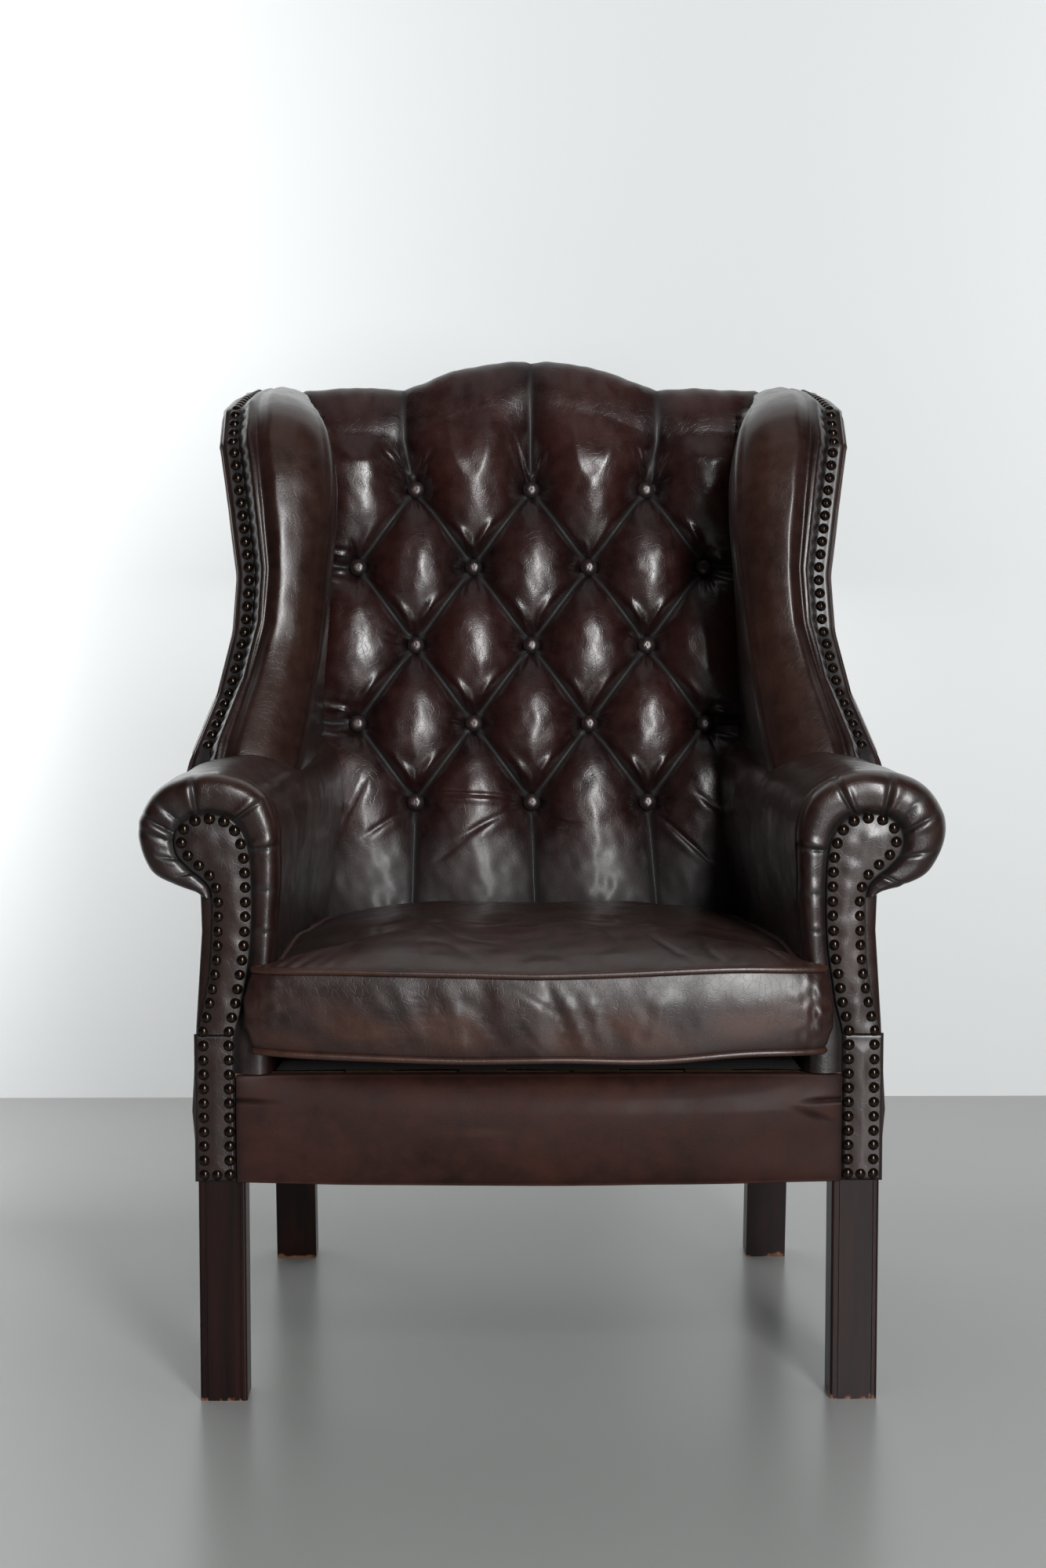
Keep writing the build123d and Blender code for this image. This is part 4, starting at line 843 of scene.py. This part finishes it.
# Front rail cover: hide over a thin pad along the seat rail, full in the middle, pulled tight at
# both ends and turned under at the bottom.
# The same cow hide, stretched and rubbed by legs until it is duller and redder than the rest.
rail_leather = leather_material("rail_hide", "#1a0c0a", "#341a15", "#4e3024", 0.60, 0.7,
                                coat=0.03, level=0.2)
cover_half, cover_high_z = 312.5, 344
cover_x = np.linspace(-cover_half, cover_half, 330)
cover_v = np.linspace(0, 1, 120)[:, None]
end_gap = cover_half - np.abs(cover_x)
middle_share = 1 - (cover_x / cover_half) ** 2
cover_low = cover_low_z - 3.5 * middle_share
cover_z = cover_low + (cover_high_z - cover_low) * cover_v
puff = np.sin(np.pi * np.clip(cover_v, 0.02, 0.98)) ** 0.45
crease = bell(cover_z - 319 + 0.05 * end_gap, 2.4) * bell(end_gap, 34, 4)
right_fold = bell(cover_z - 306 + 0.35 * (cover_x - 275), 4) * bell(cover_x - 284, 17)
cover_d = -3.6 - (14 * middle_share + 3.0) * puff + 2.6 * crease + 1.4 * right_fold
cover_d = cover_d - 0.8 * waves(cover_x, 2.2 * cover_z, 190, 81) - 0.12 * waves(cover_x, cover_z, 50, 82)
cover_d = cover_d + 13 * ramp(cover_z - 306, 38) ** 2 * (1 - (cover_x / cover_half) ** 6)
cover_points = np.concatenate([placed(cover_x[None], 6, cover_low + 1.0), placed(cover_x, cover_d, cover_z),
                               placed(cover_x[None], 12, 345)])
# Painted shade in the creases, the right-hand fold and towards both pulled ends; the rub mark is wear, with a
# scuff left of the middle.
cover_marks = {"painted_shade_dull": 0.7 * crease + 0.6 * right_fold + 0.6 * np.exp(-end_gap / 4),
               "rub": 0.35 + bell(cover_x + 62, 24) * bell(cover_z - 288, 4)}
cover_marks = {mark: np.pad(values, ((1, 1), (0, 0)), mode="edge") for mark, values in cover_marks.items()}
cover_piece = mesh_object("front_rail_hide", cover_points, marks=cover_marks)
dress(cover_piece, rail_leather, "front_rail_cover")

# Nails: domed heads side by side along the facings and the edges of the wings, driven through the
# hide into the boards.
# Bronze, cast and antiqued: dark brown metal, bright only where a dome catches the light.
bronze, *_ = new_material("antiqued_bronze", {"Base Color": linear("#3a302a"), "Metallic": 0.9,
                                              "Roughness": 0.16})
for node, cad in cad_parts.items():
    if "nails" in node:
        cad.data.materials[0] = bronze

# Dust cover: thin black cloth, turned in and tacked under the four rails, hanging a little slack in
# the middle.
dust_low, dust_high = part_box("dust_cover")
dust_u, dust_v = np.meshgrid(np.linspace(0, 1, 80), np.linspace(0, 1, 80))
dust_y = dust_low[1] * 1000 + (dust_high[1] - dust_low[1]) * 1000 * dust_v
dust_x = (dust_high[0] * 1000 - 34 * dust_v) * (2 * dust_u - 1)
dust_z = dust_low[2] * 1000 + 0.5 - 7.5 * np.sin(np.pi * dust_u) ** 0.8 * np.sin(np.pi * dust_v) ** 0.35
dust_z = dust_z + 0.5 * waves(dust_x, dust_y, 60, 121)
dust_piece = mesh_object("dust_cloth", np.stack([dust_x, dust_y, dust_z], axis=-1), flip=True)
# Cotton, dyed black and thinly woven: flat black with no shine.
black_cloth = cloth_material("black_dust_cloth", "#070707", "#121212", 0.95, 1.2083049)
fit(dust_piece, black_cloth, "black_cloth", "dust_cover")

# Loose cushion: a boxed hide case, piped at both edges, over a feather-wrapped core. The faces are
# crowned, the box is slack and creased, and the corners are drawn in at the piping.
# The same cow hide, worn by sitting: browner on the faces and duller than the back.
cushion_leather = leather_material("cushion_hide", "#0f0605", "#26110f", "#553222", 0.39, 0.8, coat=0.25)
cushion_plan = np.array([[0, -39], [150, -35], [262, -28], [288, -24], [296, -16], [290, -8], [272, -4],
                         [267, 8], [266, 60], [258, 250], [248, 420], [242, 505], [230, 524], [200, 529],
                         [100, 530], [0, 530]], float)
cushion_high, cushion_low, box_swell, corner_pinch = 455, 366, 7, 6
half_plan = smooth_line(cushion_plan, 360)
plan_loop = np.concatenate([half_plan, (half_plan[::-1] * np.array([-1, 1]))[1:-1]])
centre = np.stack([np.zeros(len(plan_loop)), np.clip(plan_loop[:, 1], 160, 340)], axis=-1)
corner = np.max([bell(np.linalg.norm(plan_loop - np.array(spot), axis=1), 26)
                 for spot in ([294, -18], [-294, -18], [238, 520], [-238, 520])], axis=0)
plan_normal = np.stack([np.gradient(plan_loop[:, 1]), -np.gradient(plan_loop[:, 0])], axis=-1)
plan_normal /= np.linalg.norm(plan_normal, axis=1, keepdims=True)
pinch = corner_pinch * corner
plan_loop = plan_loop - plan_normal * pinch[:, None]
loop_x, loop_y = plan_loop.T
top_line = cushion_high + 3 * ramp(np.abs(loop_x), 290) + 1.3 * waves(loop_x, loop_y, 170, 91)
low_line = cushion_low + 8 * ramp(np.abs(loop_x), 290) ** 2 + 1.0 * waves(loop_x, loop_y, 150, 92)
reach_in = (np.linspace(0, 1, 90) ** 1.25)[:, None]
fullness = np.sin(np.pi / 2 * np.clip(reach_in * 1.5, 0, 1)) ** 0.75


def sinking(y):
    """How far the top sinks towards the rear, in an even slope."""
    return -24 * ramp(y - 190, 330)


def cushion_face(line, rise, seed):
    """One face of the case, from the piping to the middle: a quarter sine of rise, eased from the waving
    piping to its mean, with soft creases on the slant and gathers along the seam. It also gives the creases
    as a mark for painted shade."""
    flat = plan_loop + (centre - plan_loop) * reach_in[..., None]
    x, y = flat[..., 0], flat[..., 1]
    inward = np.clip(reach_in * 6, 0, 1)
    settled = sinking(y) * (rise > 0) + (line.mean() - line) * np.clip(reach_in * 1.4, 0, 1) ** 2
    lift = rise * fullness + settled + 1.4 * waves(x, y, 140, seed) * inward
    crease = waves(x + 0.5 * y, 0.6 * y, 95, seed + 1)
    lift = lift - 0.8 * bell(crease, 0.2) * inward + 0.25 * waves(x, y, 44, seed + 2) * inward
    gather = bell(reach_in, 0.10, 1) * np.clip(reach_in * 30, 0, 1)
    lift = lift + 0.7 * gather * waves(x - 0.6 * y, 0.2 * y, 24, seed + 3)
    return placed(x, y, line + lift), bell(crease, 0.10) * inward


top_face, top_crease_shade = cushion_face(top_line, 28, 93)
low_face, low_crease_shade = cushion_face(low_line, -15, 97)
box_share = np.linspace(0, 1, 60)[:, None]
box_top = top_line + sinking(loop_y)
box_z = box_top + (low_line - box_top) * box_share
along_box = loop_x + 0.9 * loop_y
middle = 0.5 + 0.5 * np.cos(np.pi * np.clip((loop_x + 60) / 230, -1, 1)) * (loop_y < 100)
dents = 1.1 * middle * waves(along_box + 0.25 * box_z, 0.3 * box_z, 44, 101)
dents = dents + 0.5 * waves(along_box - 0.5 * box_z, 0.8 * box_z, 70, 102)
dents = dents + 0.22 * waves(along_box + 0.4 * box_z, 0.6 * box_z, 21, 105) * (0.4 + middle)
ridge = waves(along_box + 0.6 * box_z, 0.45 * box_z, 80, 103)
dents = dents - 0.7 * middle * bell(ridge, 0.16)
# Upright creases on the front of the box: place along X, slant and half height of each.
for x, slant, tall in ((22, 0.45, 44), (46, 0.3, 30), (-96, 0.2, 34), (112, -0.25, 26)):
    gap = loop_x - x - slant * (415 - box_z) + 400 * (loop_y > 100)
    dents = dents + (1.0 * bell(gap - 7, 5) - 1.5 * bell(gap, 2.6)) * bell(box_z - 408, tall, 4)
full = np.sin(np.pi * box_share) ** 0.6
box_out = (box_swell + pinch + dents + 1.2 * corner * waves(along_box, box_z, 18, 107)) * full
box_points = placed(loop_x + plan_normal[:, 0] * box_out, loop_y + plan_normal[:, 1] * box_out, box_z)
# Painted shade in the ridges of the box, at the drawn-in corners by the lower piping, and along the piping of
# both faces; the rub marks are wear.
box_painted_shade = 0.25 * middle * bell(ridge, 0.12) + 0.6 * corner * np.exp(-(box_share - 1) ** 2 / 0.02)
seam_painted_shade = 0.8 * np.broadcast_to(bell(reach_in, 0.012, 1), top_crease_shade.shape)
patches = np.clip(0.6 + 0.7 * waves(along_box, 2 * box_z, 130, 106), 0, 1.3)
box_rub = 0.2 + 0.9 * patches * bell(box_share - 0.66, 0.24)
cushion_marks = {
    "painted_shade_dull": np.concatenate([seam_painted_shade[::-1] + 0.25 * top_crease_shade[::-1], box_painted_shade[1:-1], seam_painted_shade]),
    "rub": np.concatenate([np.full(top_crease_shade.shape, 0.4), box_rub[1:-1], np.zeros(low_crease_shade.shape)])}
cushion_points = np.concatenate([top_face[::-1], box_points[1:-1], low_face])
cushion_piece = mesh_object("seat_cushion_case", cushion_points, wrap_v=True, marks=cushion_marks)
dress(cushion_piece, cushion_leather, "seat_cushion", "cushion_core", body="cushion", fill=0.8)

# Piping: hide sewn over cord into both edges of the cushion, waving a little with the case.
pipe_radius, pipe_out = 3.7, 2.6
pipe_turn = np.linspace(0, 2 * np.pi, 13)[:-1]
pipe_middle, pipe_way = (plan_loop + plan_normal * pipe_out).T[..., None], plan_normal.T[..., None]
pipe_x, pipe_d = pipe_middle + pipe_way * pipe_radius * np.cos(pipe_turn)
for name, line, node in (("top", box_top, "cushion_welt_top"), ("bottom", low_line, "cushion_welt_bottom")):
    pipe_points = placed(pipe_x, pipe_d, line[:, None] + pipe_radius * np.sin(pipe_turn))
    pipe = mesh_object(f"piping_{name}", pipe_points, wrap_u=True, wrap_v=True,
                       marks={"painted_shade_dull": 0, "rub": 0.8})
    fit(pipe, cushion_leather, "leather", node, body="cushion")
